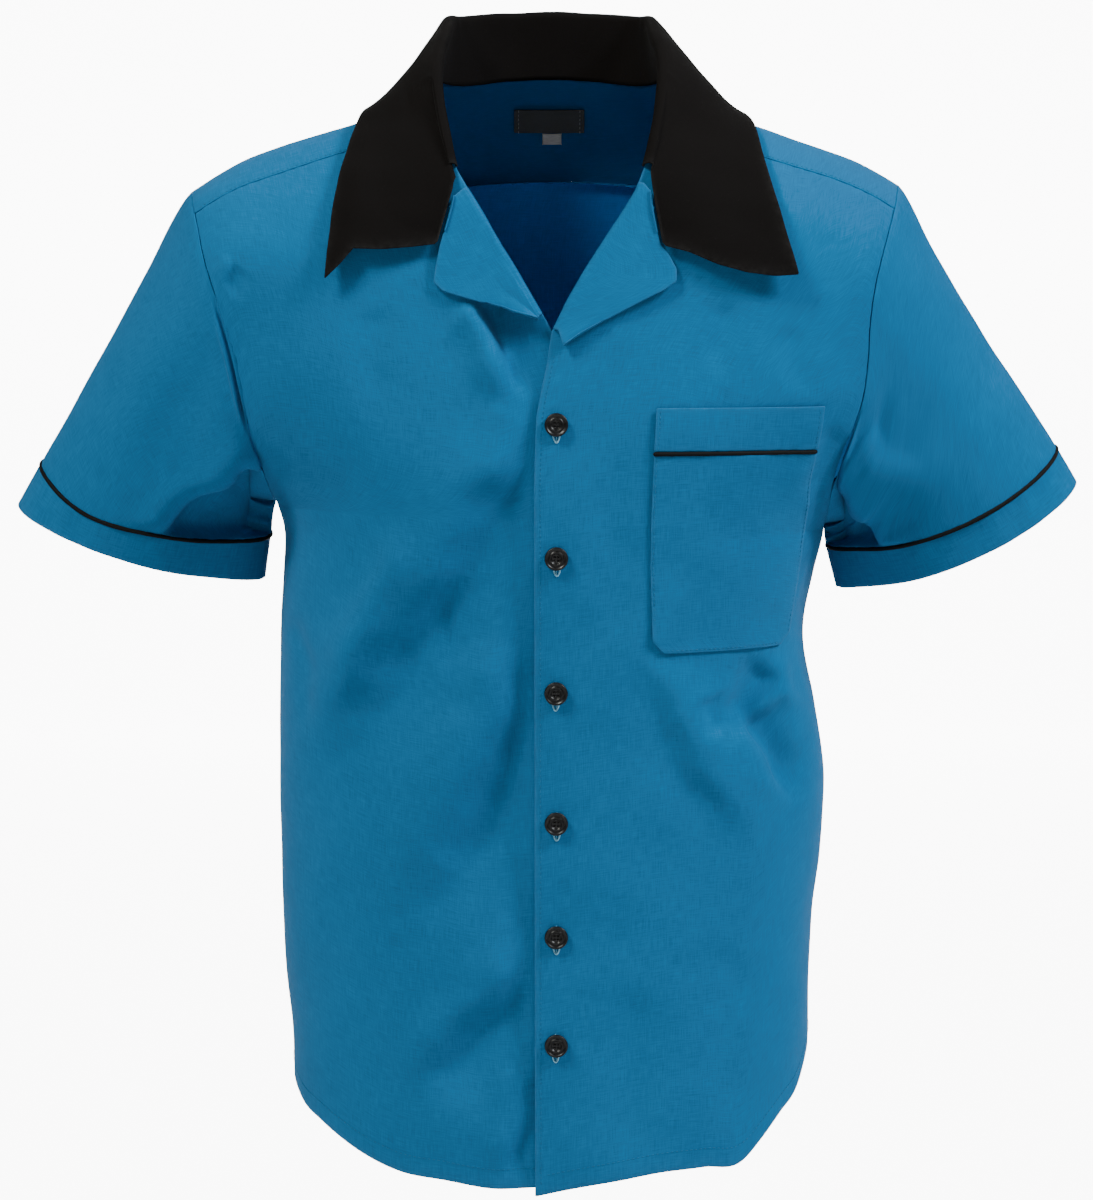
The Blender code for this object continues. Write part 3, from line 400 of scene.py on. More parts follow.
# Creases of a sleeve: degrees round from the underarm by the front, and the share of the way down.
SLEEVE_CREASES = table(
    "hand round0 down0 round1 down1 width deep",
    (-1, 62, 0.035, 114, 0.05, 0.0035, 0.0120),
    (-1, 96, 0.14, 84, 0.74, 0.0100, 0.0022),
    (-1, 118, 0.20, 96, 0.86, 0.0100, 0.0010),
    (-1, 205, 0.25, 236, 0.85, 0.0100, 0.0012),
    (-1, 300, 0.15, 318, 0.75, 0.0080, 0.0022),
    (-1, 338, 0.20, 326, 0.90, 0.0070, 0.0018),
    (1, 58, 0.02, 81, 0.46, 0.0045, 0.0042),
    (1, 64, 0.26, 93, 0.70, 0.0055, 0.0030),
    (1, 46, 0.64, 60, 0.99, 0.0060, 0.0050),
    (1, 34, 0.72, 30, 0.99, 0.0055, 0.0050),
    (1, 120, 0.30, 104, 0.90, 0.0100, 0.0010),
    (1, 215, 0.25, 240, 0.80, 0.0100, 0.0012),
    (1, 292, 0.10, 312, 0.70, 0.0080, 0.0022),
    (1, 335, 0.25, 322, 0.92, 0.0070, 0.0018),
)
# The hollow that each sleeve has under its arm: a curve on the sleeve's front, its upper edge, in degrees
# round and shares of the way down, how steeply the cloth turns in there, and how deep the hollow is.
SLEEVE_TUCKS = table(
    "hand round0 down0 round1 down1 round2 down2 width deep",
    (-1, 44, -0.02, 57, 0.42, 87, 1.04, 0.0038, 0.0155),
    (1, 58, -0.02, 43, 0.35, 54, 1.02, 0.0042, 0.0130),
)
TUCK_UNDERARM = 9  # the degrees from the underarm seam in which a hollow dies away
TUCK_HEAD, TUCK_HEM = 0.004, 0.006  # the same in metres from the sleeve's two ends
# The low rise over a hollow's edge: its share of the depth, how far from the edge and how wide, in widths.
TUCK_RISE, TUCK_RISE_AT, TUCK_RISE_WIDE = 0.3, 1.6, 1.8

# The cloth's slight unevenness: waves across x, y and z, in radians per metre.
WAVES = table(
    "x y z start tall",
    (61, 23, 34, 0.4, 0.00034),
    (-42, 31, 57, 2.1, 0.00030),
    (93, -18, -52, 1.2, 0.00020),
    (28, 70, 101, 4.0, 0.00017),
    (-131, 25, 66, 5.1, 0.00010),
    (150, 60, -88, 3.3, 0.00008),
)

# ---- seams' ripples and stitching
# The distance between the ripples beside each seam, their height, and how soon they die away from it.
RIPPLE = dict(side=0.013, top=0.011, yoke=0.0115, head=0.012, hem=0.010, pocket=0.012, band=0.014)
RIPPLE_TALL, RIPPLE_FADE = 0.00016, 0.006
# How far each row of stitches lies from its edge.
HEM_STITCH, YOKE_STITCH, POCKET_STITCH, BAND_STITCH, CLOSURE_STITCH = 0.013, 0.0016, 0.0018, 0.0028, 0.0040
CLOSURE_ROW = (-0.700, -0.160)  # the heights between which the closure is stitched
STITCH_SINK = 0.25  # how far a stitch's ends lie in the cloth, as a share of its width

# ---- fineness of the grids
FRONT_COLUMNS, FRONT_BELOW, FRONT_ABOVE = 112, 150, 100
BACK_COLUMNS, BACK_BELOW, BACK_ABOVE = 86, 120, 92
YOKE_ROWS, YOKE_COLUMNS = 42, 153
SLEEVE_ROWS, SLEEVE_COLUMNS = 84, 181
CUFF_ROWS = 12
COLLAR_COLUMNS, STAND_ROWS, ROLL_ROWS, FALL_ROWS = 106, 14, 14, 36
LAPEL_ROWS, LAPEL_ROLL, LAPEL_FLAT = 70, 9, 34

# ---- the stage: each light's size, place, aim and colour, and the camera
LIGHTS = {
    "key": (2.0, (5.24, -1.70, 5.06), (0, 0, -0.45), (0.93, 0.97, 1.0)),
    "fill": (2.0, (-4.0, -2.7, 5.6), (0, 0, -0.45), (1.0, 1.0, 0.93)),
    "front": (1.4, (0.2, -3.6, -0.4), (0, 0, -0.35), (1.0, 1.0, 0.97)),
}
LENS, CAMERA_PLACE, CAMERA_TILT = 135.48, (-0.0023, -3.0, 0.0), 83.682
# The backdrop: where its wall stands, its height and its bend's radius, and how far the floor goes.
WALL_AT, WALL_TALL, WALL_BEND, STAGE_REACH = 7.5, 6, 1.0, 9
# Where the backdrop's lit middle fades out: to the sides, in towards the shirt, and upwards.
GLOW_SIDES, GLOW_BEHIND, GLOW_TOP = (1.45, 1.85), (1.9, 2.4), (0.55, 1.0)


# ---- settings that a user would change


def metres(name, description, default, low=0.0001, high=0.1):
    """A length."""
    return bpy.props.FloatProperty(
        name=name,
        description=description,
        default=default,
        min=low,
        max=high,
        precision=5,
        unit="LENGTH",
        subtype="DISTANCE",
    )


def colour(name, description, default):
    """A colour."""
    return bpy.props.FloatVectorProperty(
        name=name, description=description, default=default, size=3, min=0, max=1, subtype="COLOR"
    )


def share_of(name, description, default, high=1.0):
    """A share, or a strength from 0."""
    return bpy.props.FloatProperty(
        name=name, description=description, default=default, min=0, max=high, subtype="FACTOR"
    )


def watts(name, description, default):
    """A light's power."""
    return bpy.props.FloatProperty(name=name, description=description, default=default, min=0, unit="POWER")


class ClothSettings(bpy.types.PropertyGroup):
    """Sizes and colours of the shirt's cloth and trim."""

    wall: metres("Cloth thickness", "Thickness of one layer of cloth", 0.00045)
    thread: metres("Thread spacing", "Distance between the weave's threads", 0.00055)
    cotton: colour("Cotton", "Colour of the turquoise cotton's right side", (0.0085, 0.124, 0.290))
    # painted shade: the wrong side is painted darker than the face for the shade inside the shirt
    cotton_inside: colour("Cotton inside", "Colour of the cotton's wrong side", (0.0030, 0.092, 0.270))
    # painted light: the back's wrong side is brighter and bluer than the face, standing in for light that its
    # shaded inside lacks
    back_inside: colour("Back inside", "Colour of the wrong side of the back", (0.0026, 0.180, 0.600))
    collar: colour("Collar", "Colour of the black collar cloth", (0.0032, 0.0024, 0.0022))
    piping: colour("Piping", "Colour of the corded piping", (0.0018, 0.0018, 0.0022))
    label: colour("Neck label", "Colour of the bare neck label", (0.040, 0.042, 0.040))
    size_label: colour("Size tab", "Colour of the bare size tab", (0.480, 0.460, 0.420))
    slub: share_of("Slub", "How much the yarn's thickness varies the colour", 0.95)
    # painted highlight: how much lighter the rims of folded edges are painted, in spots
    rim_highlight: share_of("Edge wear", "How much folded edges are rubbed lighter", 0.12)


class TrimSettings(bpy.types.PropertyGroup):
    """Sizes and colours of the stitching and the buttons."""

    stitch: metres("Stitch length", "Length of one stitch", 0.0024)
    stitch_gap: metres("Stitch gap", "Distance between two stitches", 0.0009)
    stitch_width: metres("Stitch width", "Thickness of the sewing thread", 0.00042)
    thread: colour("Sewing thread", "Colour of the stitching", (0.0045, 0.120, 0.250))
    hole_thread: colour("Buttonhole thread", "Colour of the buttonholes' pale thread", (0.230, 0.540, 0.720))
    button: colour("Button", "Colour of the buttons", (0.0022, 0.0022, 0.0026))
    hole_length: metres("Buttonhole length", "Length of each buttonhole", 0.0180)


class StageSettings(bpy.types.PropertyGroup):
    """The floor, the lights and the camera."""

    floor: colour("Floor", "Colour of the floor and the backdrop", (0.62, 0.62, 0.62))
    floor_height: metres("Floor height", "Height of the floor under the neck", -1.35, low=-3, high=3)
    key: watts("Key light", "Power of the main soft light", 750)
    fill: watts("Fill light", "Power of the second soft light", 580)
    front: watts("Front light", "Power of the weak light from the front", 10)
    backdrop: share_of("Backdrop glow", "Brightness of the lit middle of the backdrop", 9.0, high=20.0)
    sky: share_of("Ambient light", "Strength of the light from all round", 0.085, high=5.0)


# ---- curves and vectors


def smooth(at, knots, values):
    """A curve through a table's rows: a cubic between rows, with each row's slope from its neighbours."""
    at = np.clip(at, knots[0], knots[-1])
    slopes = np.gradient(values, knots)
    i = np.clip(np.searchsorted(knots, at, side="right") - 1, 0, len(knots) - 2)
    step = knots[i + 1] - knots[i]
    t = (at - knots[i]) / step
    start = (1 + 2 * t) * (1 - t) ** 2 * values[i] + t * (1 - t) ** 2 * step * slopes[i]
    end = t**2 * (3 - 2 * t) * values[i + 1] - t**2 * (1 - t) * step * slopes[i + 1]
    return start + end


def ease(share):
    """0 to 1 with no slope at either end: 3t squared less 2t cubed."""
    t = np.clip(share, 0, 1)
    return t * t * (3 - 2 * t)


def unit(v):
    """Directions made one long."""
    return v / np.maximum(np.linalg.norm(v, axis=-1, keepdims=True), 1e-12)


def square_to(way, axis):
    """The part of a direction that is square to another, made one long."""
    return unit(way - axis * np.sum(way * axis, -1, keepdims=True))


def mix(a, b, share):
    """What lies this share of the way from a to b."""
    return a + (b - a) * share


def hermite(start, start_way, end, end_way, t):
    """The cubic curve between two points that leaves and arrives along the given ways."""
    return (
        (1 + 2 * t) * (1 - t) ** 2 * start
        + t * (1 - t) ** 2 * start_way
        + t**2 * (3 - 2 * t) * end
        - t**2 * (1 - t) * end_way
    )


# ---- the body's form


def ridge(x):
    """Height of the shoulders' ridge, by x."""
    return smooth(np.abs(x), RIDGE["out"], RIDGE["height"])


def armhole_out(share, hand):
    """How far out the armhole lies, by the share of the way up it."""
    return smooth(share, ARMHOLE["rise"], ARMHOLE[hand])


def armhole_top(hand):
    """Height of the armhole's top, where it meets the ridge."""
    return ridge(armhole_out(1.0, hand))


def armhole_share(height, hand):
    """The share of the way up the armhole at a height."""
    return (height - UNDERARM[hand]) / (armhole_top(hand) - UNDERARM[hand])


def armhole_depth(share):
    """Half depth of the armhole as a share of the body's: a quarter circle up to ARMHOLE_ROUND."""
    return ARMHOLE_DEPTH * np.sqrt(1 - (1 - np.clip(share / ARMHOLE_ROUND, 0, 1)) ** 2)


def armhole_point(step, hand):
    """out and height of the armhole seam: height goes as a cosine of the step round its ring."""
    share = (1 - np.cos(np.asarray(step) * 2 * math.pi / RING)) / 2
    return armhole_out(share, hand), UNDERARM[hand] + share * (armhole_top(hand) - UNDERARM[hand])


def half_width(height, hand):
    """Half of a section: the sides' table under the arms, and above them what carries the armhole."""
    share = np.clip(armhole_share(height, hand), 0, 1)
    reach = (1 - armhole_depth(share) ** ROUNDNESS) ** (1 / ROUNDNESS)
    below = smooth(height, SIDES["height"], SIDES[hand])
    return np.where(height < UNDERARM[hand], below, armhole_out(share, hand) / reach)


def folds(x, height, side):
    """The form's large folds: a bell of the distance to each line, fading towards the line's ends."""
    out = np.zeros(np.broadcast(x, height).shape)
    for fold_side, x0, z0, x1, z1, width, proud in zip(*FOLDS.values()):
        dx, dz = x1 - x0, z1 - z0
        nearest = np.clip(((x - x0) * dx + (height - z0) * dz) / (dx * dx + dz * dz), 0, 1)
        off = np.hypot(x - x0 - nearest * dx, height - z0 - nearest * dz)
        shape = np.exp(-((off / width) ** 2)) * (1 - 0.6 * (2 * nearest - 1) ** 2)
        out = out + np.where(side == fold_side, proud, 0) * shape
    return out


def form(x, over):
    """A point of the body, from x and the way over the shoulder, forward negative.

    The height falls from the ridge on a quarter circle and then straight. The depth is the section's
    superellipse times the sine of the same angle.
    """
    x, over = np.broadcast_arrays(np.asarray(x, float), np.asarray(over, float))
    angle = np.minimum(np.abs(over) / SHOULDER_DROP, math.pi / 2)
    straight = np.maximum(np.abs(over) - SHOULDER_DROP * math.pi / 2, 0)
    height = ridge(x) - SHOULDER_DROP * (1 - np.cos(angle)) - straight
    half = np.where(x >= 0, half_width(height, "left"), half_width(height, "right"))
    across = np.maximum(1 - np.clip(np.abs(x) / half, 0, 1) ** ROUNDNESS, 0) ** (1 / ROUNDNESS)
    side = np.where(over < 0, -1, 1)
    front, behind = (smooth(height, DEPTH["height"], DEPTH[name]) for name in ("front", "back"))
    proud = folds(x, height, side) * np.minimum(across / 0.4, 1)
    depth = np.where(side < 0, front, behind) * across * np.sin(angle)
    return np.stack([x, side * (depth + proud), height], -1)


def over_at(x, height, side):
    """The way over the shoulder to a height, on the front (-1) or on the back (1)."""
    drop = np.maximum(ridge(x) - height, 0)
    rounded = SHOULDER_DROP * np.arccos(np.clip(1 - drop / SHOULDER_DROP, 0, 1))
    return side * (rounded + np.maximum(drop - SHOULDER_DROP, 0))


def normal(x, over):
    """The form's outward direction, from the points just beside."""
    d = 0.0015
    return unit(np.cross(form(x + d, over) - form(x - d, over), form(x, over + d) - form(x, over - d)))


def lay(x, over, lift):
    """Points moved out from the form by lift."""
    return form(x, over) + normal(x, over) * np.asarray(lift)[..., None]


def clear(points, least):
    """Moves points out to where they stand at least this far off the form."""
    side = np.where(points[..., 1] < 0, -1, 1)
    over = over_at(points[..., 0], points[..., 2], side)
    up = normal(points[..., 0], over)
    stands = np.sum((points - form(points[..., 0], over)) * up, -1, keepdims=True)
    return points + up * np.maximum(least - stands, 0)


# ---- creases


def bent_line(x, z, ends, count=12):
    """Signed distance to a quadratic curve through three points, and the share along it.

    The curve is cut into straight pieces, and the nearest one counts. The distance is positive on the
    curve's left.
    """
    (x0, z0), (x1, z1), (x2, z2) = ends
    t = np.linspace(0, 1, count + 1)
    cx = (1 - t) ** 2 * x0 + 2 * t * (1 - t) * (2 * x1 - (x0 + x2) / 2) + t**2 * x2
    cz = (1 - t) ** 2 * z0 + 2 * t * (1 - t) * (2 * z1 - (z0 + z2) / 2) + t**2 * z2
    best = np.full(x.shape, np.inf)
    signed = np.zeros(x.shape)
    share = np.zeros(x.shape)
    for i in range(count):
        dx, dz = cx[i + 1] - cx[i], cz[i + 1] - cz[i]
        near = np.clip(((x - cx[i]) * dx + (z - cz[i]) * dz) / (dx * dx + dz * dz), 0, 1)
        off_x, off_z = x - cx[i] - near * dx, z - cz[i] - near * dz
        off = np.hypot(off_x, off_z)
        closer = off < best
        best = np.where(closer, off, best)
        signed = np.where(closer, off * np.sign(dx * off_z - dz * off_x), signed)
        share = np.where(closer, (i + near) / count, share)
    return signed, share


def crease_shape(off, share, width, deep, shoulder):
    """Across a crease: a bell-shaped trough, with a lower and wider bell beside it where it has a shoulder,
    and a wider, flatter wall on the trough's other side.

    Along it, the depth rises over about the first fifth and dies away over the last third.
    """
    fade = ease(share / CREASE_START) * ease((1 - share) / CREASE_END)
    spread_out = np.where(off * shoulder < 0, CREASE_SPREAD, 1)
    trough = np.exp(-((off / (width * spread_out)) ** 2))
    beside = off - shoulder * SHOULDER_AT * width
    rise = np.exp(-((beside / (SHOULDER_WIDE * width)) ** 2)) * (shoulder != 0)
    return deep * fade * (SHOULDER_TALL * rise - trough)


def creased(points, side):
    """How far the creases and the waves lift each point of the cloth of the back (1), of both fronts (-1)
    or of the right front (-2), which has both fronts' creases and its own."""
    x, z = points[..., 0], points[..., 2]
    lift = np.zeros(x.shape)
    # each crease's line wanders a little
    bend_x = x + 0.0022 * np.sin(71 * z + 0.7) + 0.0012 * np.sin(163 * z + 31 * x)
    bend_z = z + 0.0025 * np.sin(64 * x + 1.9) + 0.0011 * np.sin(149 * x - 47 * z)
    for row in zip(*CREASES.values()):
        if row[0] != side and (row[0], side) != (FRONTS, RIGHT_ONLY):
            continue
        ends = (row[1:3], row[3:5], row[5:7])
        width, deep, shoulder = row[7:]
        reach = CREASE_REACH * width + 0.004
        xs, zs = [end[0] for end in ends], [end[1] for end in ends]
        near = (x > min(xs) - reach) & (x < max(xs) + reach) & (z > min(zs) - reach) & (z < max(zs) + reach)
        if near.any():
            off, share = bent_line(bend_x[near], bend_z[near], ends)
            lift[near] += crease_shape(off, share, width, deep, shoulder)
    if side == RIGHT_ONLY:
        lift = lift * mix(CLOSURE_HOLD, 1, ease((-x - CLOSURE_FROM) / CLOSURE_FADE))
    return lift + waves(points)


def waves(points):
    """The cloth's slight unevenness: a sum of long sines across x, y and z."""
    lift = np.zeros(points.shape[:-1])
    for x, y, z, start, tall in zip(*WAVES.values()):
        lift += tall * np.sin(points @ np.array([x, y, z]) + start)
    return lift


def surface(x, height, side, lift=0.0):
    """Points on the finished face of a front (-1, or -2 for the right one) or of the back (1), with its
    creases, moved out by lift; and the outward direction at each."""
    over = over_at(x, height, max(side, FRONTS))
    base = form(x, over)
    up = normal(x, over)
    return base + up * (creased(base, side) + FACE + lift)[..., None], up


def sink(x):
    """How far the right front sinks behind the closure: an ease from start to end."""
    return UNDERLAP_SINK * ease((x - UNDERLAP_START) / (UNDERLAP_END - UNDERLAP_START))


# ---- sheets of cloth from grids


def outward(grid):
    """The direction that a grid's face looks in: along its columns crossed with along its rows."""
    return unit(np.cross(np.gradient(grid, axis=1), np.gradient(grid, axis=0)))


def past_edge(rows, out, kind):
    """What lies beyond a sheet's edge, nearest first: an arc, and then a run back behind it or inwards.

    The arc's points are the edge plus radius times (across sin a - out (1 - cos a)).
    """
    radius, turn, behind, deep, _ = kind
    across = unit(rows[0] - rows[1])
    angle = np.radians(np.linspace(0, turn, 6)[1:, None, None])
    arc = rows[0] + radius * (across * np.sin(angle) - out[0] * (1 - np.cos(angle)))
    if behind:
        run = rows[1 : behind + 1] - 2 * radius * out[1 : behind + 1]
    else:
        run = (arc[-1] + (across * 0.1 - out[0]) * deep)[None]
    return np.concatenate([arc, run])


def bordered(grid, low=None, high=None, first=None, last=None):
    """A grid with its edges finished; the corners between two finished edges stay open (nan).

    low and high are its first and last rows, first and last its first and last columns. With it come how
    near each point is to a folded edge, and the row and column where the grid itself starts.
    """
    grid = grid.copy()
    turned = {
        "low": (lambda g: g, low),
        "high": (lambda g: g[::-1], high),
        "first": (lambda g: g.transpose(1, 0, 2), first),
        "last": (lambda g: g.transpose(1, 0, 2)[::-1], last),
    }
    for view, kind in turned.values():
        if kind:
            rows = view(grid)
            rows[0] -= unit(rows[0] - rows[1]) * kind[4]
    out = outward(grid)
    strips = {name: past_edge(view(grid), view(out), kind) for name, (view, kind) in turned.items() if kind}
    sizes = {name: len(strips[name]) if name in strips else 0 for name in turned}
    rows, columns = grid.shape[:2]
    shape = (rows + sizes["low"] + sizes["high"], columns + sizes["first"] + sizes["last"], 3)
    whole = np.full(shape, np.nan)
    r, c = sizes["low"], sizes["first"]
    whole[r : r + rows, c : c + columns] = grid
    if low:
        whole[:r, c : c + columns] = strips["low"][::-1]
    if high:
        whole[r + rows :, c : c + columns] = strips["high"]
    if first:
        whole[r : r + rows, :c] = strips["first"][::-1].transpose(1, 0, 2)
    if last:
        whole[r : r + rows, c + columns :] = strips["last"].transpose(1, 0, 2)
    rows_at = np.arange(whole.shape[0])[:, None]
    columns_at = np.arange(whole.shape[1])[None, :]
    away = np.full(whole.shape[:2], 99.0)
    for kind, far in (
        (low, rows_at - r),
        (high, r + rows - 1 - rows_at),
        (first, columns_at - c),
        (last, c + columns - 1 - columns_at),
    ):
        if kind and kind[1] > 90:
            away = np.minimum(away, np.abs(far + 2.0))
    near = np.exp(-((away / 2.5) ** 2))
    return whole, near, (r, c)


def lengths(grid, axis):
    """Distance run along a grid's rows or columns from their start; open corners add nothing."""
    step = np.nan_to_num(np.linalg.norm(np.diff(grid, axis=axis), axis=-1))
    start = np.zeros_like(np.take(step, [0], axis=axis))
    return np.cumsum(np.concatenate([start, step], axis=axis), axis=axis)


def add_piece(name, mesh, materials, stands_for=()):
    """Puts a finished mesh into the scene as a piece of the shirt."""
    for made in materials:
        mesh.materials.append(made)
    piece = bpy.data.objects.new(name, mesh)
    bpy.context.scene.collection.objects.link(piece)
    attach(piece, "root")
    if stands_for:
        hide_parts(*stands_for)
    return piece


def mesh_of(name, points, quads, uv=None, edge=None):
    """A mesh of quads, with the cloth's own uv in metres and how near each point is to a folded edge."""
    mesh = bpy.data.meshes.new(name)
    mesh.vertices.add(len(points))
    mesh.vertices.foreach_set("co", points.ravel())
    mesh.loops.add(quads.size)
    mesh.loops.foreach_set("vertex_index", quads.ravel())
    mesh.polygons.add(len(quads))
    mesh.polygons.foreach_set("loop_start", np.arange(0, quads.size, 4))
    mesh.update(calc_edges=True)
    mesh.validate()
    if uv is not None:
        layer = mesh.uv_layers.new(name="cloth")
        layer.data.foreach_set("uv", uv[quads.ravel()].ravel())
    if edge is not None:
        mesh.attributes.new("edge", "FLOAT", "POINT").data.foreach_set("value", edge.astype(np.float32))
    mesh.shade_smooth()
    return mesh


def corners_of(number):
    """The four corners of every quad of a grid of numbered points."""
    return np.stack((number[:-1, :-1], number[:-1, 1:], number[1:, 1:], number[1:, :-1]), -1)


def sheet_mesh(name, grid, near, corner):
    """A grid's mesh: quads wherever all four corners are there, and uv from the distances run along it."""
    r, c = corner
    u = lengths(grid, 1)
    v = lengths(grid, 0)
    u = u - u[:, c : c + 1]
    v = v - v[r : r + 1]
    there = ~np.isnan(grid[..., 0])
    number = np.cumsum(there.ravel()).reshape(there.shape) - 1
    whole = there[:-1, :-1] & there[:-1, 1:] & there[1:, 1:] & there[1:, :-1]
    quads = corners_of(number)[whole].reshape(-1, 4)
    uv = np.stack([u, v], -1)[there]
    return mesh_of(name, grid[there], quads, uv, near[there])


def cloth(
    name, grid, node, edges, finish=None,
    flip=False, wall=None,
):
    """A sheet of cloth that stands for a node: finished edges and one layer's wall.

    It also works out a flat size, the grid's longest row by its longest column, and the cloth's own area, but
    does nothing with them.
    """
    settings = bpy.context.scene.shirt_cloth
    finish = finish or cotton()
    if flip:
        grid = grid[:, ::-1]
        edges = {{"first": "last", "last": "first"}.get(k, k): v for k, v in edges.items()}
    whole, near, corner = bordered(grid, **edges)
    mesh = sheet_mesh(name, whole, near, corner)
    piece = add_piece(name, mesh, finish, [node])
    shell = piece.modifiers.new("wall", "SOLIDIFY")
    shell.thickness = wall or settings.wall
    shell.offset = -1
    shell.use_quality_normals = False
    shell.material_offset = len(finish) - 1
    shell.material_offset_rim = len(finish) - 1
    width = float(lengths(whole, 1)[:, -1].max())
    length = float(lengths(whole, 0)[-1].max())
    area = sum(polygon.area for polygon in mesh.polygons)
    area = max(0.3 * width * length, min(area, width * length))
    return piece


# ---- finishes


class Nodes:
    """Short calls that build a material's nodes."""

    def __init__(self, name):
        """A new material with its shader."""
        self.material = bpy.data.materials.new(name)
        self.material.use_nodes = True
        self.tree = self.material.node_tree
        self.shader = self.tree.nodes["Principled BSDF"]

    def add(self, kind, values=(), **options):
        """A node of a kind, with its sockets and its options set."""
        made = self.tree.nodes.new("ShaderNode" + kind)
        for option, value in options.items():
            setattr(made, option, value)
        for socket, value in dict(values).items():
            self.put(made.inputs[socket], value)
        return made

    def put(self, socket, value):
        """Links a socket, or sets its value."""
        if isinstance(value, bpy.types.NodeSocket):
            self.tree.links.new(value, socket)
        else:
            socket.default_value = value

    def set(self, **values):
        """Sets or links the shader's sockets."""
        for socket, value in values.items():
            self.put(self.shader.inputs[socket.replace("_", " ")], value)

    def uv(self, across, along):
        """The cloth's own uv, with its two directions scaled."""
        where = self.add("UVMap", uv_map="cloth").outputs["UV"]
        return self.add("Mapping", {"Vector": where, "Scale": (across, along, 1)}).outputs["Vector"]

    def noise(self, where, scale, detail=2.0, rough=0.5):
        """Soft noise."""
        values = {"Vector": where, "Scale": scale, "Detail": detail, "Roughness": rough}
        return self.add("TexNoise", values).outputs["Fac"]

    def wave(self, where, scale, distortion, way="X"):
        """Bands across one direction."""
        values = {"Vector": where, "Scale": scale, "Distortion": distortion}
        return self.add("TexWave", values, bands_direction=way).outputs["Fac"]

    def place(self):
        """Where a point is on its object."""
        return self.add("TexCoord").outputs["Object"]

    def scaled(self, value, low, high, to_low, to_high):
        """A value taken from one range to another."""
        values = {"Value": value, "From Min": low, "From Max": high, "To Min": to_low, "To Max": to_high}
        return self.add("MapRange", values).outputs["Result"]

    def math(self, kind, a, b=0.0):
        """Two values added, multiplied and so on."""
        made = self.add("Math", operation=kind)
        self.put(made.inputs[0], a)
        self.put(made.inputs[1], b)
        return made.outputs[0]

    def blend(self, share, a, b):
        """A colour between two."""
        made = self.add("Mix", data_type="RGBA")
        self.put(made.inputs[0], share)
        self.put(made.inputs[6], a)
        self.put(made.inputs[7], b)
        return made.outputs[2]

    def between(self, value, low, high, rgb, dark, light):
        """A colour that goes from a dark to a light tint as the value goes from low to high."""
        return self.blend(self.scaled(value, low, high, 0, 1), tint(rgb, dark), tint(rgb, light))

    def bump(self, height, strength, distance, below=None):
        """A relief, on top of another if one is given."""
        values = {"Height": height, "Strength": strength, "Distance": distance}
        if below is not None:
            values["Normal"] = below
        return self.add("Bump", values).outputs["Normal"]


def tint(rgb, factor):
    """A colour made lighter or darker, with its alpha."""
    return (*(min(1.0, c * factor) for c in rgb), 1.0)


def woven(name, rgb, thread, slub, rim_highlight=0.0, rough=0.88, sheen=0.03, bump=0.5, mottle=0.10):
    """Plain-woven cloth.

    Its threads are two crossed waves along the cloth's own uv, broken up by slubs: noise drawn out along
    each thread. Large soft patches vary the dye, and folded edges get a painted highlight, lighter in spots.
    """
    if name in bpy.data.materials:
        return bpy.data.materials[name]
    m = Nodes(name)
    across = m.noise(m.uv(0.9 / thread, 0.045 / thread), 1.0, 3.0, 0.6)
    along = m.noise(m.uv(0.045 / thread, 0.9 / thread), 1.0, 3.0, 0.6)
    slubs = m.math("MULTIPLY", m.math("ADD", across, along), 0.5)
    where = m.place()
    patches = m.noise(where, 9.0, 3.0, 0.55)
    cloudy = m.noise(where, 46.0, 2.0, 0.5)
    low, high = 1 - 0.32 * slub, 1 + 0.32 * slub
    base = m.between(slubs, 0.38, 0.62, rgb, low, high)
    dye = m.math("ADD", m.math("MULTIPLY", patches, 0.65), m.math("MULTIPLY", cloudy, 0.35))
    faded = m.between(dye, 0.35, 0.65, rgb, 1 - mottle, 1 + mottle)
    base = m.blend(0.42, base, faded)
    # painted highlight: the rims of folded edges are painted lighter in spots
    if rim_highlight:
        edge = m.add("Attribute", attribute_name="edge").outputs["Fac"]
        spots = m.scaled(m.noise(where, 260.0, 3.0, 0.6), 0.35, 0.7, 0.25, 1)
        rim_highlight_share = m.math("MULTIPLY", m.math("MULTIPLY", edge, spots), rim_highlight)
        base = m.blend(rim_highlight_share, base, (*(mix(c, 0.55, 0.32) for c in rgb), 1))
    warp, weft = (m.wave(m.uv(1 / thread, 1 / thread), 0.5, 0.6, way) for way in ("X", "Y"))
    weave = m.math("ADD", m.math("MULTIPLY", warp, 0.5), m.math("MULTIPLY", weft, 0.5))
    soft = m.bump(cloudy, 0.25 * bump, 0.002)
    slubbed = m.bump(slubs, 0.55 * bump, 0.0005, soft)
    m.set(
        Base_Color=base,
        Roughness=m.scaled(slubs, 0.3, 0.7, rough - 0.05, rough + 0.07),
        Normal=m.bump(weave, 0.35 * bump, 0.0002, slubbed),
        Sheen_Weight=sheen,
        Sheen_Roughness=0.55,
        Specular_IOR_Level=0.08,
    )
    return m.material


def cotton(inside="cotton_inside"):
    """The turquoise cotton's two sides: its face, and its wrong side, whose colour carries painted shade; the
    back's wrong side carries painted light instead.
    """
    s = bpy.context.scene.shirt_cloth
    face = woven("turquoise_cotton_weave", s.cotton, s.thread, s.slub, s.rim_highlight)
    return [face, woven("turquoise_" + inside, getattr(s, inside), s.thread, s.slub * 0.6)]


def collar_cloth():
    """The black cloth of the collar."""
    s = bpy.context.scene.shirt_cloth
    # its 0.10 is the painted highlight on the rims of the collar's folded edges
    return [woven("black_collar_weave", s.collar, s.thread, 0.5, 0.10, rough=0.86, sheen=0.01, bump=0.6)]


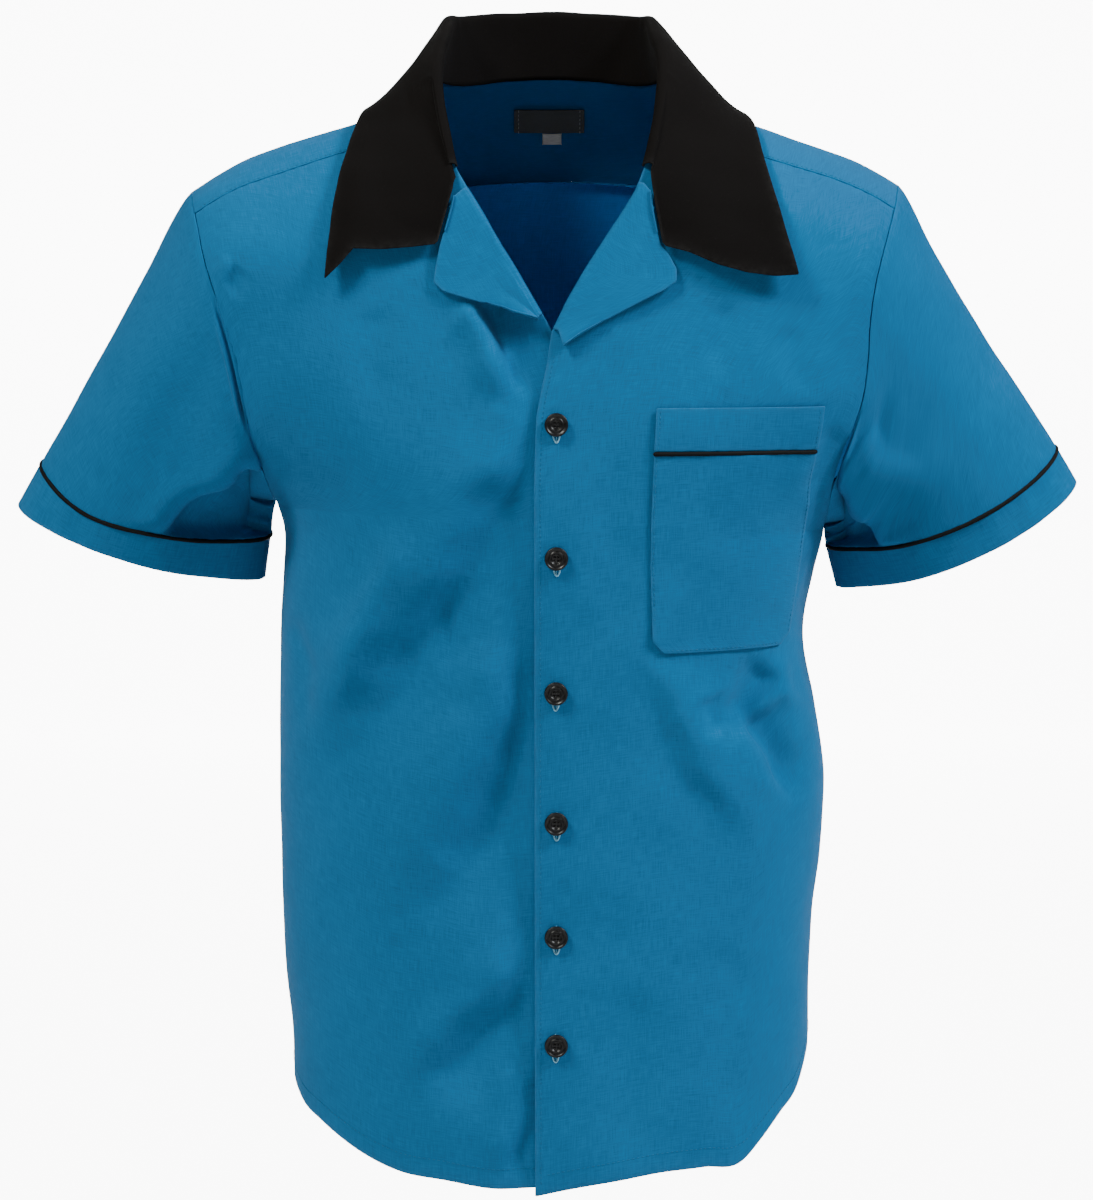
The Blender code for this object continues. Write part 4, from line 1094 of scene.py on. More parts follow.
def piping_cloth():
    """Bias cloth wound tightly over a cord: slanting threads, a slight sheen and rubbed high spots."""
    if "black_piping_bias" in bpy.data.materials:
        return bpy.data.materials["black_piping_bias"]
    s = bpy.context.scene.shirt_cloth
    m = Nodes("black_piping_bias")
    where = m.add("UVMap", uv_map="cloth").outputs["UV"]
    turned = {"Vector": where, "Rotation": (0, 0, 0.78), "Scale": (1 / 0.0006,) * 3}
    slant = m.add("Mapping", turned).outputs[0]
    threads = m.wave(slant, 0.5, 1.0)
    lint = m.noise(m.place(), 420.0, 3.0, 0.6)
    colours = m.between(lint, 0.35, 0.7, s.piping, 0.8, 1.8)
    m.set(
        Base_Color=colours,
        Roughness=m.scaled(lint, 0.3, 0.7, 0.62, 0.8),
        Normal=m.bump(threads, 0.3, 0.0002, m.bump(lint, 0.3, 0.0003)),
        Sheen_Weight=0.01,
        Specular_IOR_Level=0.15,
    )
    return m.material


def sewing_thread(name, rgb):
    """Twisted thread: fine slanting bands, lint, and a soft shine."""
    if name in bpy.data.materials:
        return bpy.data.materials[name]
    m = Nodes(name)
    where = m.place()
    twist = m.wave(where, 900.0, 2.0, "DIAGONAL")
    lint = m.noise(where, 700.0)
    m.set(
        Base_Color=m.between(lint, 0.3, 0.7, rgb, 0.8, 1.2),
        Roughness=m.scaled(lint, 0.3, 0.7, 0.55, 0.75),
        Normal=m.bump(twist, 0.4, 0.0001),
        Specular_IOR_Level=0.3,
    )
    return m.material


def resin():
    """Polished black resin: faint cloudy streaks, and fine scratches that roughen the gloss."""
    if "black_resin" in bpy.data.materials:
        return bpy.data.materials["black_resin"]
    s = bpy.context.scene.shirt_trim
    m = Nodes("black_resin")
    where = m.place()
    clouds = m.noise(where, 260.0, 3.0, 0.6)
    rub = m.noise(m.add("Mapping", {"Vector": where, "Scale": (1, 1, 7)}).outputs[0], 900.0, 3.0, 0.7)
    m.set(
        Base_Color=m.between(clouds, 0.4, 0.7, s.button, 0.8, 1.9),
        Roughness=m.scaled(rub, 0.35, 0.7, 0.30, 0.46),
        Normal=m.bump(rub, 0.08, 0.0001),
        Specular_IOR_Level=0.35,
    )
    return m.material


def label_cloth(name, rgb):
    """Satin-woven label: long floats across it, and a faint ribbed relief."""
    m = Nodes(name)
    floats = m.noise(m.uv(220, 2600), 1.0, 3.0, 0.6)
    ribs = m.wave(m.uv(1, 1), 900.0, 0.4, "Y")
    m.set(
        Base_Color=m.between(floats, 0.35, 0.65, rgb, 0.86, 1.14),
        Roughness=m.scaled(floats, 0.3, 0.7, 0.5, 0.68),
        Normal=m.bump(ribs, 0.25, 0.0002, m.bump(floats, 0.3, 0.0002)),
        Sheen_Weight=0.15,
        Specular_IOR_Level=0.35,
    )
    return [m.material]


# ---- the shirt's panels


def out_across(t, stop=math.pi / 2):
    """How far across a point lies at a share of a turn that ends at stop: a section is a superellipse, so
    out goes as a power of the turn's sine."""
    return (np.sin(t**1.2 * stop) / np.sin(stop)) ** (2 / ROUNDNESS)


def hem_line(across, hand, panel):
    """Height of a panel's hem, by how far across it is; the back's also rises or drops towards each side."""
    height = smooth(across, HEM_LINE["share"], HEM_LINE[panel])
    return height + HEM_SIDE[hand] * across**4 if panel == "back" else height


def spread(columns, share=0.0):
    """How far across each column lies, at an armhole row's share of the way up (0 on every row below).

    The turn stops where the row meets the armhole.
    """
    stop = np.arcsin((1 - armhole_depth(share) ** ROUNDNESS) ** 0.5)
    return out_across(np.linspace(0, 1, columns), stop)


def inner_edge(height, hand):
    """out of a front's inner edge, by height: the closure, the roll line and the neck seam."""
    rows = FRONT_EDGE[hand]
    neck = form(COLLAR["out"][-3:], COLLAR["over"][-3:])[::-1]
    heights = np.append(rows["height"], neck[:, 2])
    outs = np.append(rows["out"], neck[:, 0])
    return np.interp(height, heights, outs)


def press(grid, side, near_seams):
    """A panel with its creases, and ripples beside its seams: each point moves in or out along the panel's
    outward direction."""
    out = outward(grid)
    out = out * np.sign(np.sum(out * np.array([0, side, 0]), -1).mean())
    lift = creased(grid, side)
    for away, along, gap in near_seams:
        lift = lift + pucker(away, along, gap)
    return grid + out * lift[..., None]


def pucker(away, along, gap):
    """Small ripples beside a seam: sines along it that die away within a few millimetres of it."""
    turn = along * 2 * math.pi / gap
    wave = np.sin(turn + 1.7 * np.sin(turn * 0.31)) - 0.6
    return RIPPLE_TALL * wave * np.exp(-away / RIPPLE_FADE)


def front_grid(hand):
    """A front: rows level at the hem that lift towards the slope of the shoulder at the yoke seam."""
    sign = SIGN[hand]
    across = spread(FRONT_COLUMNS)
    r = 1 - (1 - np.linspace(0, 1, FRONT_BELOW, endpoint=False)[:, None]) ** 1.3
    hem = hem_line(across, hand, hand)[None]
    below = mix(hem, UNDERARM[hand], r)
    x_below = mix(inner_edge(below, hand), half_width(below, hand), across)
    step = YOKE_FRONT_STEP * np.linspace(0, 1, FRONT_ABOVE)[:, None] ** 0.8
    out, level = armhole_point(step, hand)
    share = (level - UNDERARM[hand]) / (armhole_point(YOKE_FRONT_STEP, hand)[1] - UNDERARM[hand])
    inner = np.full(out.shape, 0.05)
    # where a row meets the inner edge depends on the row's own slope, and is found by repeated averaging
    for _ in range(24):
        inner = 0.5 * inner + 0.5 * inner_edge(level + share * (ridge(inner) - ridge(out)), hand)
    x_above = mix(inner, out, spread(FRONT_COLUMNS, armhole_share(level, hand)))
    above = level + share * (ridge(x_above) - ridge(out))
    x = np.vstack([x_below, x_above])
    height = np.vstack([below, above])
    points = form(sign * x, over_at(x, height, -1))
    points[..., 1] -= FACE
    if hand == "right":
        points[..., 1] += sink(points[..., 0])
    return points


def seam_distance(grid, axis, last=True):
    """Distance of each point from a grid's last (or first) row or column."""
    run = lengths(grid, axis)
    return np.abs(np.take(run, [-1], axis=axis) - run) if last else run


def side_distance(grid):
    """Distance of each point from the nearer of a grid's first and last columns."""
    return np.minimum(seam_distance(grid, 1), seam_distance(grid, 1, last=False))


def make_front(hand):
    """Makes a front, with its creases and the ripples beside its seams."""
    grid = front_grid(hand)
    side_away = seam_distance(grid, 1)
    top_away = seam_distance(grid, 0)
    grid = press(
        grid,
        RIGHT_ONLY if hand == "right" else FRONTS,
        [(side_away, lengths(grid, 0), RIPPLE["side"]), (top_away, lengths(grid, 1), RIPPLE["top"])],
    )
    edges = {"low": HEM, "high": SEAM, "first": FACING, "last": ARM_SEAM}
    name = f"front_panel_{hand}"
    cloth(name, grid, f"front_{hand}", edges, flip=hand == "right")


def back_grid():
    """The back: below the underarms level rows between the sides, above them rows between armhole points
    that crown towards the yoke seam."""
    t, across = np.linspace(0, 1, BACK_COLUMNS), spread(BACK_COLUMNS)
    r = np.linspace(0, 1, BACK_BELOW, endpoint=False)[:, None]
    steps = YOKE_BACK_STEP * np.linspace(0, 1, BACK_ABOVE)[:, None] ** 0.8
    ends = {hand: armhole_point(steps, hand) for hand in UNDERARM}
    tops = [armhole_point(YOKE_BACK_STEP, hand)[1] for hand in UNDERARM]
    top, start = sum(tops) / 2, sum(UNDERARM.values()) / 2
    middle = (ends["left"][1] + ends["right"][1]) / 2
    crown = (YOKE_BACK_HEIGHT - top) * (middle - start) / (top - start)
    halves = {}
    for hand, sign in SIGN.items():
        hem = hem_line(across, hand, "back")
        below = mix(hem[None], mix(start, UNDERARM[hand], t)[None], r)
        x_below = half_width(below, hand) * across
        out, level = ends[hand]
        across_above = spread(BACK_COLUMNS, armhole_share(level, hand))
        above = mix(middle + crown, level, across_above**2)
        x = sign * np.vstack([x_below, out * across_above])
        height = np.vstack([below, above])
        halves[hand] = form(x, over_at(x, height, 1))
    points = np.concatenate([halves["right"][:, ::-1], halves["left"][:, 1:]], axis=1)
    points[..., 1] += FACE
    return points


def make_back():
    """Makes the back, with its creases and the ripples beside its seams."""
    grid = back_grid()
    sides, top = side_distance(grid), seam_distance(grid, 0)
    grid = press(grid, 1, [(sides, lengths(grid, 0), RIPPLE["side"]), (top, lengths(grid, 1), RIPPLE["top"])])
    edges = {"low": HEM, "high": SEAM, "first": ARM_SEAM, "last": ARM_SEAM}
    # the back's wrong side is painted lighter, standing in for light that its shaded inside lacks
    cloth("back_panel", grid, "back", edges, cotton("back_inside"), flip=True)


def yoke_grid():
    """The yoke: straight lines on the form, from the neck seam to a line that runs along the back seam,
    up the armhole and over the shoulder to the front seam."""
    halves = []
    share = np.linspace(0, 1, YOKE_COLUMNS)
    seam_part = share < YOKE_SEAM_SHARE - 1e-9
    steps = (RING - YOKE_BACK_STEP) - np.maximum(share - YOKE_SEAM_SHARE, 0) / (1 - YOKE_SEAM_SHARE) * (
        RING - YOKE_BACK_STEP - YOKE_FRONT_STEP
    )
    for hand, sign in SIGN.items():
        out, height = armhole_point(np.minimum(steps, RING - steps), hand)
        arm_over = over_at(out, height, np.where(steps > RING / 2, 1, -1))
        seam_out, seam_level = armhole_point(YOKE_BACK_STEP, hand)
        along = np.minimum(share / YOKE_SEAM_SHARE, 1)
        seam_height = mix(YOKE_BACK_HEIGHT, seam_level, along**2)
        seam_over = over_at(seam_out * along, seam_height, 1)
        outer = np.stack(
            [np.where(seam_part, seam_out * along, out), np.where(seam_part, seam_over, arm_over)], -1
        )
        stop = np.interp(arm_over[-1], COLLAR["over"][::-1], COLLAR["share"][::-1])
        neck = np.stack([smooth(share * stop, COLLAR["share"], COLLAR[c]) for c in ("out", "over")], -1)
        lines = mix(neck[None], outer[None], np.linspace(0, 1, YOKE_ROWS)[:, None, None])
        lines[:, -1, 1] += SEAM_GAP
        lines[-1, seam_part, 1] -= SEAM_GAP
        halves.append(form(sign * lines[..., 0], lines[..., 1]))
    return np.concatenate([halves[1][:, ::-1], halves[0][:, 1:]], axis=1)


def make_yoke():
    """Makes the yoke, with ripples beside its back seam."""
    grid = yoke_grid()
    out = outward(grid)
    edge = seam_distance(grid, 0)
    grid = grid + out * (waves(grid) + FACE + pucker(edge, lengths(grid, 1), RIPPLE["yoke"]))[..., None]
    edges = {"low": NECK, "high": SEAM, "first": SEAM, "last": SEAM}
    cloth("yoke_panel", grid, "yoke", edges)


# ---- the collar and the lapels


def collar_half(hand):
    """Sections of the collar from the centre back to the gorge.

    A section leaves the neck seam with the stand's lean, turns on an arc over the roll, and comes down to
    the outer edge on a cubic that meets the form there. The last sections slide to the front end's line.
    """
    sign = SIGN[hand]
    share = np.linspace(0, 1, COLLAR_COLUMNS)
    c = {name: smooth(share, COLLAR["share"], COLLAR[name]) for name in COLLAR}
    x, over = sign * c["out"], c["over"]
    up = normal(x, over)
    seam = form(x, over) + up * COLLAR_GAP
    along = unit(np.gradient(seam, axis=0))
    along[0] = (sign, 0, 0)
    out = unit(np.cross(up, along)) * sign
    lean = np.radians(c["lean"])[:, None]
    rise = unit(up * np.cos(lean) - out * np.sin(lean))
    away = unit(out * np.cos(lean) + up * np.sin(lean))
    stand = seam + rise * mix(-0.0012, c["stand"][:, None], np.linspace(0, 1, STAND_ROWS)[:, None, None])
    turned = np.radians(c["turn"] - COLLAR_OPEN[hand] * np.sin(math.pi * share))[:, None]
    angle = turned * np.linspace(0, 1, ROLL_ROWS + 1)[1:, None, None]
    roll = stand[-1] + ROLL * (rise * np.sin(angle) + away * (1 - np.cos(angle)))
    turn = angle[-1]
    down = rise * np.cos(turn) + away * np.sin(turn)
    edge_x = sign * c["edge_" + hand]
    edge_up = normal(edge_x, c["edge_over"])
    edge = lay(edge_x, c["edge_over"], c["edge_lift"])
    reach = edge - roll[-1]
    far = np.linalg.norm(reach, axis=-1, keepdims=True)
    land = square_to(reach, edge_up)
    t = np.linspace(0, 1, FALL_ROWS + 1)[1:]
    fall = hermite(roll[-1], down * far * 0.8, edge, land * far * 0.8, t[:, None, None])
    end_x, end_z, end_lift = (
        np.interp(t, COLLAR_END["share"], COLLAR_END[name]) for name in (hand + "_x", hand + "_z", "lift")
    )
    line = lay(sign * end_x, over_at(end_x, end_z, -1), end_lift)
    fall = fall + ease((share - 0.60) / 0.40)[None, :, None] * (line - fall[:, -1])[:, None]
    fall = clear(fall, COLLAR_STAND_OFF)
    return np.concatenate([stand, roll, fall])


def softened(grid, reach=9, sigma=3.2, held=24):
    """The collar's fall evened out along the collar: each row is averaged with a bell of weights over its
    neighbouring columns, more towards the outer edge, and less and less in the held columns at either end."""
    steps = np.arange(-reach, reach + 1)
    weights = np.exp(-((steps / sigma) ** 2) / 2)
    padded = np.pad(grid, ((0, 0), (reach, reach), (0, 0)), mode="edge")
    beside = (w * padded[:, reach + i : reach + i + grid.shape[1]] for i, w in zip(steps, weights))
    even = sum(beside) / weights.sum()
    column = np.arange(grid.shape[1])
    inner = ease(np.minimum(column, column[::-1]) / held)[None]
    fallen = ease((np.arange(len(grid)) - STAND_ROWS - ROLL_ROWS / 2) / ROLL_ROWS)[:, None]
    return mix(grid, even, (inner * fallen)[..., None])


def make_collar():
    """Makes the collar from its two halves, uneven where it has fallen."""
    halves = [collar_half(hand) for hand in ("right", "left")]
    grid = softened(np.concatenate([halves[0][:, ::-1], halves[1][:, 1:]], axis=1))
    out = outward(grid)
    grid = grid + out * CLOTH
    fallen = ease((np.arange(len(grid)) - STAND_ROWS - ROLL_ROWS) / FALL_ROWS)[:, None]
    grid = grid + out * (waves(grid * 1.6) * (0.4 + fallen))[..., None]
    edges = {"high": EDGE, "first": EDGE, "last": EDGE}
    cloth("collar_cloth", grid, "collar", edges, collar_cloth())


def lapel_grid(hand):
    """A lapel: from just behind the front's roll line it turns out on an arc and lies back over the front."""
    sign = SIGN[hand]
    c = LAPELS[hand]
    knots = np.linspace(0, 1, len(c["roll_z"]))
    at = np.linspace(0, 1, LAPEL_ROWS)
    roll_z, edge_x, edge_z = (np.interp(at, knots, c[name]) for name in ("roll_z", "edge_x", "edge_z"))
    roll_x = inner_edge(roll_z, hand)
    over = over_at(roll_x, roll_z, -1)
    up = normal(sign * roll_x, over)
    start = form(sign * roll_x, over) + up * 0.0003
    if hand == "right":
        start[:, 1] += sink(start[:, 0])
    along = unit(np.gradient(start, axis=0))
    out = unit(np.cross(up, along)) * sign
    angle = np.radians(np.linspace(-24, 90, LAPEL_ROLL))[:, None, None]
    roll = start + ROLL * (up * np.sin(angle) + out * (1 - np.cos(angle)))
    edge_over = over_at(edge_x, edge_z, -1)
    edge = lay(sign * edge_x, edge_over, LAPEL_LIFT)
    reach = edge - roll[-1]
    t = np.linspace(0, 1, LAPEL_FLAT + 1)[1:, None, None]
    far = np.linalg.norm(reach, axis=-1, keepdims=True)
    edge_up = normal(sign * edge_x, edge_over)
    leave = square_to(reach, up)
    land = square_to(reach, edge_up)
    flat = hermite(roll[-1], leave * far, edge, land * far, t)
    return np.concatenate([roll, clear(flat, LAPEL_STAND_OFF)]).transpose(1, 0, 2)


def make_lapel(hand):
    """Makes a lapel, with its free edges folded."""
    grid = lapel_grid(hand)
    if hand == "left":
        grid = grid[:, ::-1]
    free = "first" if hand == "left" else "last"
    out = outward(grid)
    grid = grid + out * (0.6 * waves(grid * 1.4))[..., None]
    edges = {"low": EDGE, "high": EDGE, free: EDGE}
    name = f"lapel_cloth_{hand}"
    cloth(name, grid, f"lapel_{hand}", edges, cotton()[:1])


# ---- the sleeves


def cuff_ring(hand, row, steps):
    """The ring of a sleeve's piping seam (row 0) or hem (row 1): an ellipse between its two ends, whose
    front dips and whose back rises along the sleeve."""
    sign = SIGN[hand]
    c = SLEEVE_RINGS[hand]
    a, b = (np.array([sign * c[e + "_x"][row], 0, c[e + "_z"][row]]) for e in ("inner", "outer"))
    wide = (b - a) / 2
    axis = unit(np.array([wide[2] * -sign, 0, wide[0] * sign])) * np.array([-1, 0, -1])
    angle = steps[:, None] * 2 * math.pi / RING
    forward = np.sin(angle)
    ring = (a + b) / 2 - wide * np.cos(angle) + np.array([0, -c["depth"][row], 0]) * forward
    degrees = np.degrees(angle)
    round_at, round_width, deep = (CUFF_TUCKS[hand][name] for name in ("at", "width", "deep"))
    near = np.exp(-(((degrees - round_at[row]) / round_width[row]) ** 2))
    inward = unit((a + b) / 2 - ring) * deep[row] * near
    bulge = c["bulge"][row] * np.exp(-(((degrees - CUFF_BULGE_AT) / CUFF_BULGE_WIDE) ** 2))
    return ring + inward + axis * (c["dip"][row] * forward + c["sag"][row] * forward**2 + bulge)


def armhole_ring(hand, steps):
    """The sleeve's end at the armhole, a seam's gap out from the body's own edge."""
    sign = SIGN[hand]
    out, height = armhole_point(steps, hand)
    ring = form(sign * out, over_at(out, height, np.where(steps <= RING / 2, -1, 1)))
    ring[:, 0] += sign * mix(SEAM_GAP, SLEEVE_GAP, ease((height - UNDERARM[hand] - 0.07) / 0.04))
    return ring


def sleeve_grid(hand):
    """A sleeve: cubics from the armhole ring to the piping seam, hollowed along its top, with its folds."""
    sign = SIGN[hand]
    steps = np.linspace(0, RING, SLEEVE_COLUMNS)
    start, seam, hem = armhole_ring(hand, steps), cuff_ring(hand, 0, steps), cuff_ring(hand, 1, steps)
    down = unit(hem - seam)
    seam = seam - down * (CUFF_CORD / 2)
    lift = (1 - np.cos(steps[:, None] * 2 * math.pi / RING)) / 2
    (low_x, low_z), (high_x, high_z) = SLEEVE_STARTS
    way = unit(mix(np.array([sign * low_x, 0, low_z]), np.array([sign * high_x, 0, high_z]), lift))
    far = np.linalg.norm(seam - start, axis=1, keepdims=True)
    pull = mix(*SLEEVE_PULL, lift)
    t = np.linspace(0, 1, SLEEVE_ROWS)[:, None, None] ** 1.15
    grid = hermite(start, way * far * pull, seam, down * far * 0.9, t)
    wide = unit(seam[SLEEVE_COLUMNS // 2] - seam[0])
    grid = grid - wide * SLEEVE_HOLLOW[hand] * lift * np.sin(math.pi * t) ** 2
    out = unit(grid - grid[:, :-1].mean(axis=1, keepdims=True))
    out = square_to(out, down)
    degrees = steps[:, None] * 360 / RING
    for round_at, down_at, round_width, down_width, proud in zip(*SLEEVE_FOLDS.values()):
        shape = np.exp(-(((degrees - round_at) / round_width) ** 2) - ((t - down_at) / down_width) ** 2)
        grid = grid + out * proud * shape * np.sin(math.pi * t)
    return grid, degrees[:, 0], t[:, 0, 0]


def tucked(u, v, hand):
    """How a sleeve's hollow lifts its cloth: in, by one less a bell of the distance to the hollow's edge, and
    out past that edge, by a low bell. It dies away towards the underarm seam and the sleeve's two ends."""
    lift = 0
    for row in zip(*SLEEVE_TUCKS.values()):
        if row[0] == SIGN[hand]:
            ends = [(row[i] * SLEEVE_DEGREE, row[i + 1] * SLEEVE_DOWN) for i in (1, 3, 5)]
            off, _ = bent_line(u, v, ends)
            inside = np.where(off > 0, 1 - np.exp(-((off / row[7]) ** 2)), 0)
            at_hem = 1 - np.exp(-(((SLEEVE_DOWN - v) / TUCK_HEM) ** 2))
            ended = at_hem * (1 - np.exp(-((v / TUCK_HEAD) ** 2)))
            past = (off + TUCK_RISE_AT * row[7]) / (TUCK_RISE_WIDE * row[7])
            proud = TUCK_RISE * np.exp(-(past**2))
            lift = lift - row[8] * (inside - proud) * ease(u / (TUCK_UNDERARM * SLEEVE_DEGREE)) * ended
    return lift


def make_sleeve(hand):
    """Makes a sleeve, with its hollow, and with creases along lines on the sleeve's own unrolled cloth."""
    grid, degrees, down = sleeve_grid(hand)
    out = outward(grid) * -SIGN[hand]
    u = np.broadcast_to(degrees[None, :] * SLEEVE_DEGREE, grid.shape[:2])
    v = np.broadcast_to(down[:, None] * SLEEVE_DOWN, grid.shape[:2])
    bend_u = u + 0.002 * np.sin(90 * v + 0.8)
    bend_v = v + 0.002 * np.sin(70 * u + 0.3)
    lift = waves(grid)
    for side, r0, d0, r1, d1, width, deep in zip(*SLEEVE_CREASES.values()):
        if side != SIGN[hand]:
            continue
        a, b = ((r * SLEEVE_DEGREE, d * SLEEVE_DOWN) for r, d in ((r0, d0), (r1, d1)))
        middle = ((a[0] + b[0]) / 2 + 0.004, (a[1] + b[1]) / 2 - 0.003)
        off, share = bent_line(bend_u, bend_v, (a, middle, b))
        lift = lift + crease_shape(off, share, width, deep, 1)
    held = np.sin(math.pi * np.clip(down, 0, 1))[:, None] ** 0.5
    lift = lift + tucked(bend_u, bend_v, hand) / np.maximum(held, 0.2)
    head, hem_away, along = seam_distance(grid, 0, last=False), seam_distance(grid, 0), lengths(grid, 1)
    lift = lift * held + pucker(head, along, RIPPLE["head"]) + pucker(hem_away, along, RIPPLE["hem"])
    grid = grid + out * lift[..., None]
    edges = {"low": SLEEVE_SEAM, "high": BUTTED, "first": SEAM, "last": SEAM}
    cloth(f"sleeve_cloth_{hand}", grid, f"sleeve_{hand}", edges, flip=hand == "left")


def cuff_grid(hand):
    """A cuff: straight from just under the piping to the sleeve's hem."""
    steps = np.linspace(0, RING, SLEEVE_COLUMNS)
    seam, hem = cuff_ring(hand, 0, steps), cuff_ring(hand, 1, steps)
    start = seam + unit(hem - seam) * (CUFF_CORD / 2)
    return mix(start, hem, np.linspace(0, 1, CUFF_ROWS)[:, None, None])


def make_cuff(hand):
    """Makes a cuff, slightly wavy along its length."""
    grid = cuff_grid(hand)
    out = outward(grid) * -SIGN[hand]
    along = lengths(grid, 1)
    ripple = 0.00028 * np.sin(along * 170 + 2.2 * np.sin(along * 41)) + 0.6 * waves(grid)
    grid = grid + out * (ripple + pucker(seam_distance(grid, 0, last=False), along, RIPPLE["hem"]))[..., None]
    edges = {"low": BUTTED, "high": EDGE, "first": SEAM, "last": SEAM}
    name, flip = f"cuff_cloth_{hand}", hand == "left"
    cloth(name, grid, f"cuff_{hand}", edges, flip=flip)


# ---- cords, stitches and threads


def frames(line, closed=False):
    """Two directions square to a line at each of its points: across it and up."""
    if closed:
        ahead = unit(np.roll(line, -1, axis=0) - np.roll(line, 1, axis=0))
    else:
        ahead = unit(np.gradient(line, axis=0))
    guide = np.where(np.abs(ahead[:, 2:]) < 0.9, [[0.0, 0.0, 1.0]], [[0.0, 1.0, 0.0]])
    across = unit(np.cross(ahead, guide))
    return across, np.cross(across, ahead)


def run_of(line):
    """The distance run along a line at each of its points."""
    return np.concatenate([[0], np.cumsum(np.linalg.norm(np.diff(line, axis=0), axis=1))])


def tube(line, radius, sides, closed=False):
    """A round tube: at each point of the line, a circle of the given radius square to it.

    An open tube's ends close over quarter-circle domes, each ring smaller by the cosine of its angle.
    """
    across, up = frames(line, closed)
    radius = np.broadcast_to(np.asarray(radius, float), len(line))
    if not closed:
        angle = np.radians([90, 60, 30])
        ahead = unit(line[1] - line[0]), unit(line[-1] - line[-2])
        low = line[0] - ahead[0] * radius[0] * np.sin(angle)[:, None]
        high = line[-1] + ahead[1] * radius[-1] * np.sin(angle[::-1])[:, None]
        ends = np.maximum(np.cos(angle), 0.02)
        line = np.vstack([low, line, high])
        radius = np.concatenate([ends * radius[0], radius, ends[::-1] * radius[-1]])
        across, up = (np.vstack([np.repeat(w[:1], 3, 0), w, np.repeat(w[-1:], 3, 0)]) for w in (across, up))
    turn = np.linspace(0, 2 * math.pi, sides, endpoint=False)[None, :, None]
    round_it = across[:, None] * np.cos(turn) + up[:, None] * np.sin(turn)
    rings = line[:, None] + radius[:, None, None] * round_it
    count = len(line)
    number = np.arange(count * sides).reshape(count, sides)
    if closed:
        number = np.vstack([number, number[:1]])
    beside = np.roll(number, -1, axis=1)
    quads = np.stack([number[:-1], beside[:-1], beside[1:], number[1:]], -1).reshape(-1, 4)
    if not closed:
        quads = np.vstack([quads, cap(number[0][::-1]), cap(number[-1])])
    run = run_of(line)
    uv = np.stack(np.broadcast_arrays(turn[..., 0] * radius.mean(), run[:, None]), -1).reshape(-1, 2)
    return rings.reshape(-1, 3), quads, uv


def cap(ring):
    """Quads that close a ring of an even number of points, in strips across it."""
    n = len(ring)
    i = np.arange(n // 2 - 1)
    return np.stack([ring[i], ring[i + 1], ring[n - 2 - i], ring[n - 1 - i]], -1)


def joined(parts):
    """Several (points, quads, uv) as one."""
    start = np.cumsum([0] + [len(points) for points, _, _ in parts[:-1]])
    return (
        np.concatenate([points for points, _, _ in parts]),
        np.concatenate([quads + s for (_, quads, _), s in zip(parts, start)]),
        np.concatenate([uv for _, _, uv in parts]),
    )


def add_trim(name, parts, material):
    """Several (points, quads, uv) as one piece of the shirt, which stands for no node."""
    add_piece(name, mesh_of(name, *joined(parts)), [material])


def add_cord(name, line, width, node, closed=False):
    """Piping: a tube whose radius swells and thins slightly along it."""
    along = np.arange(len(line))
    radius = width / 2 * (1 + 0.035 * np.sin(along * 0.21) + 0.025 * np.sin(along * 0.47 + 1))
    add_piece(name, mesh_of(name, *tube(line, radius, 14, closed)), [piping_cloth()], [node])


def resampled(line, up, spacing, offset):
    """Points every spacing along a line from an offset on, with the outward direction at each."""
    run = run_of(line)
    at = np.arange(offset, run[-1], spacing)
    points = np.stack([np.interp(at, run, line[:, i]) for i in range(3)], -1)
    ups = unit(np.stack([np.interp(at, run, up[:, i]) for i in range(3)], -1))
    return points, ups


def stitches(line, up, length, gap, width):
    """A row of stitches: each a short pod along the line, bowed up a little, its ends sunk in the cloth.

    A pod is a six-sided ring at each of five places, whose radius goes as the square root of a sine.
    """
    points, ups = resampled(line, up, length + gap, gap)
    ahead = unit(np.gradient(points, axis=0))
    across = unit(np.cross(ahead, ups))
    t = np.linspace(0.03, 0.97, 5)
    bow = np.sin(math.pi * t)
    radius = width / 2 * np.sqrt(bow)
    middle = (
        points[:, None]
        + ahead[:, None] * ((t - 0.5) * length)[None, :, None]
        + ups[:, None] * (width * (0.55 * bow - STITCH_SINK))[None, :, None]
    )
    turn = np.linspace(0, 2 * math.pi, 6, endpoint=False)
    cos, sin = np.cos(turn)[None, None, :, None], np.sin(turn)[None, None, :, None]
    round_it = across[:, None, None] * cos + ups[:, None, None] * sin
    rings = middle[:, :, None] + radius[None, :, None, None] * round_it
    number = np.arange(len(points) * 30).reshape(len(points), 5, 6)
    beside = np.roll(number, -1, axis=2)
    walls = np.stack([number[:, :-1], number[:, 1:], beside[:, 1:], beside[:, :-1]], -1).reshape(-1, 4)
    low, high = number[:, 0], number[:, -1]
    caps = [low[:, [0, 1, 2, 3]], low[:, [0, 3, 4, 5]], high[:, [3, 2, 1, 0]], high[:, [5, 4, 3, 0]]]
    quads = np.vstack([walls, *caps])
    flat = rings.reshape(-1, 3)
    return flat, quads, flat[:, :2]


def add_stitching(name, rows, rgb, material="sewing_thread_turquoise"):
    """One piece of all the stitches along several rows, each a line and its outward directions."""
    s = bpy.context.scene.shirt_trim
    parts = [stitches(line, up, s.stitch, s.stitch_gap, s.stitch_width) for line, up in rows]
    add_trim(name, parts, sewing_thread(material, rgb))


# ---- the pocket, the buttons and the labels


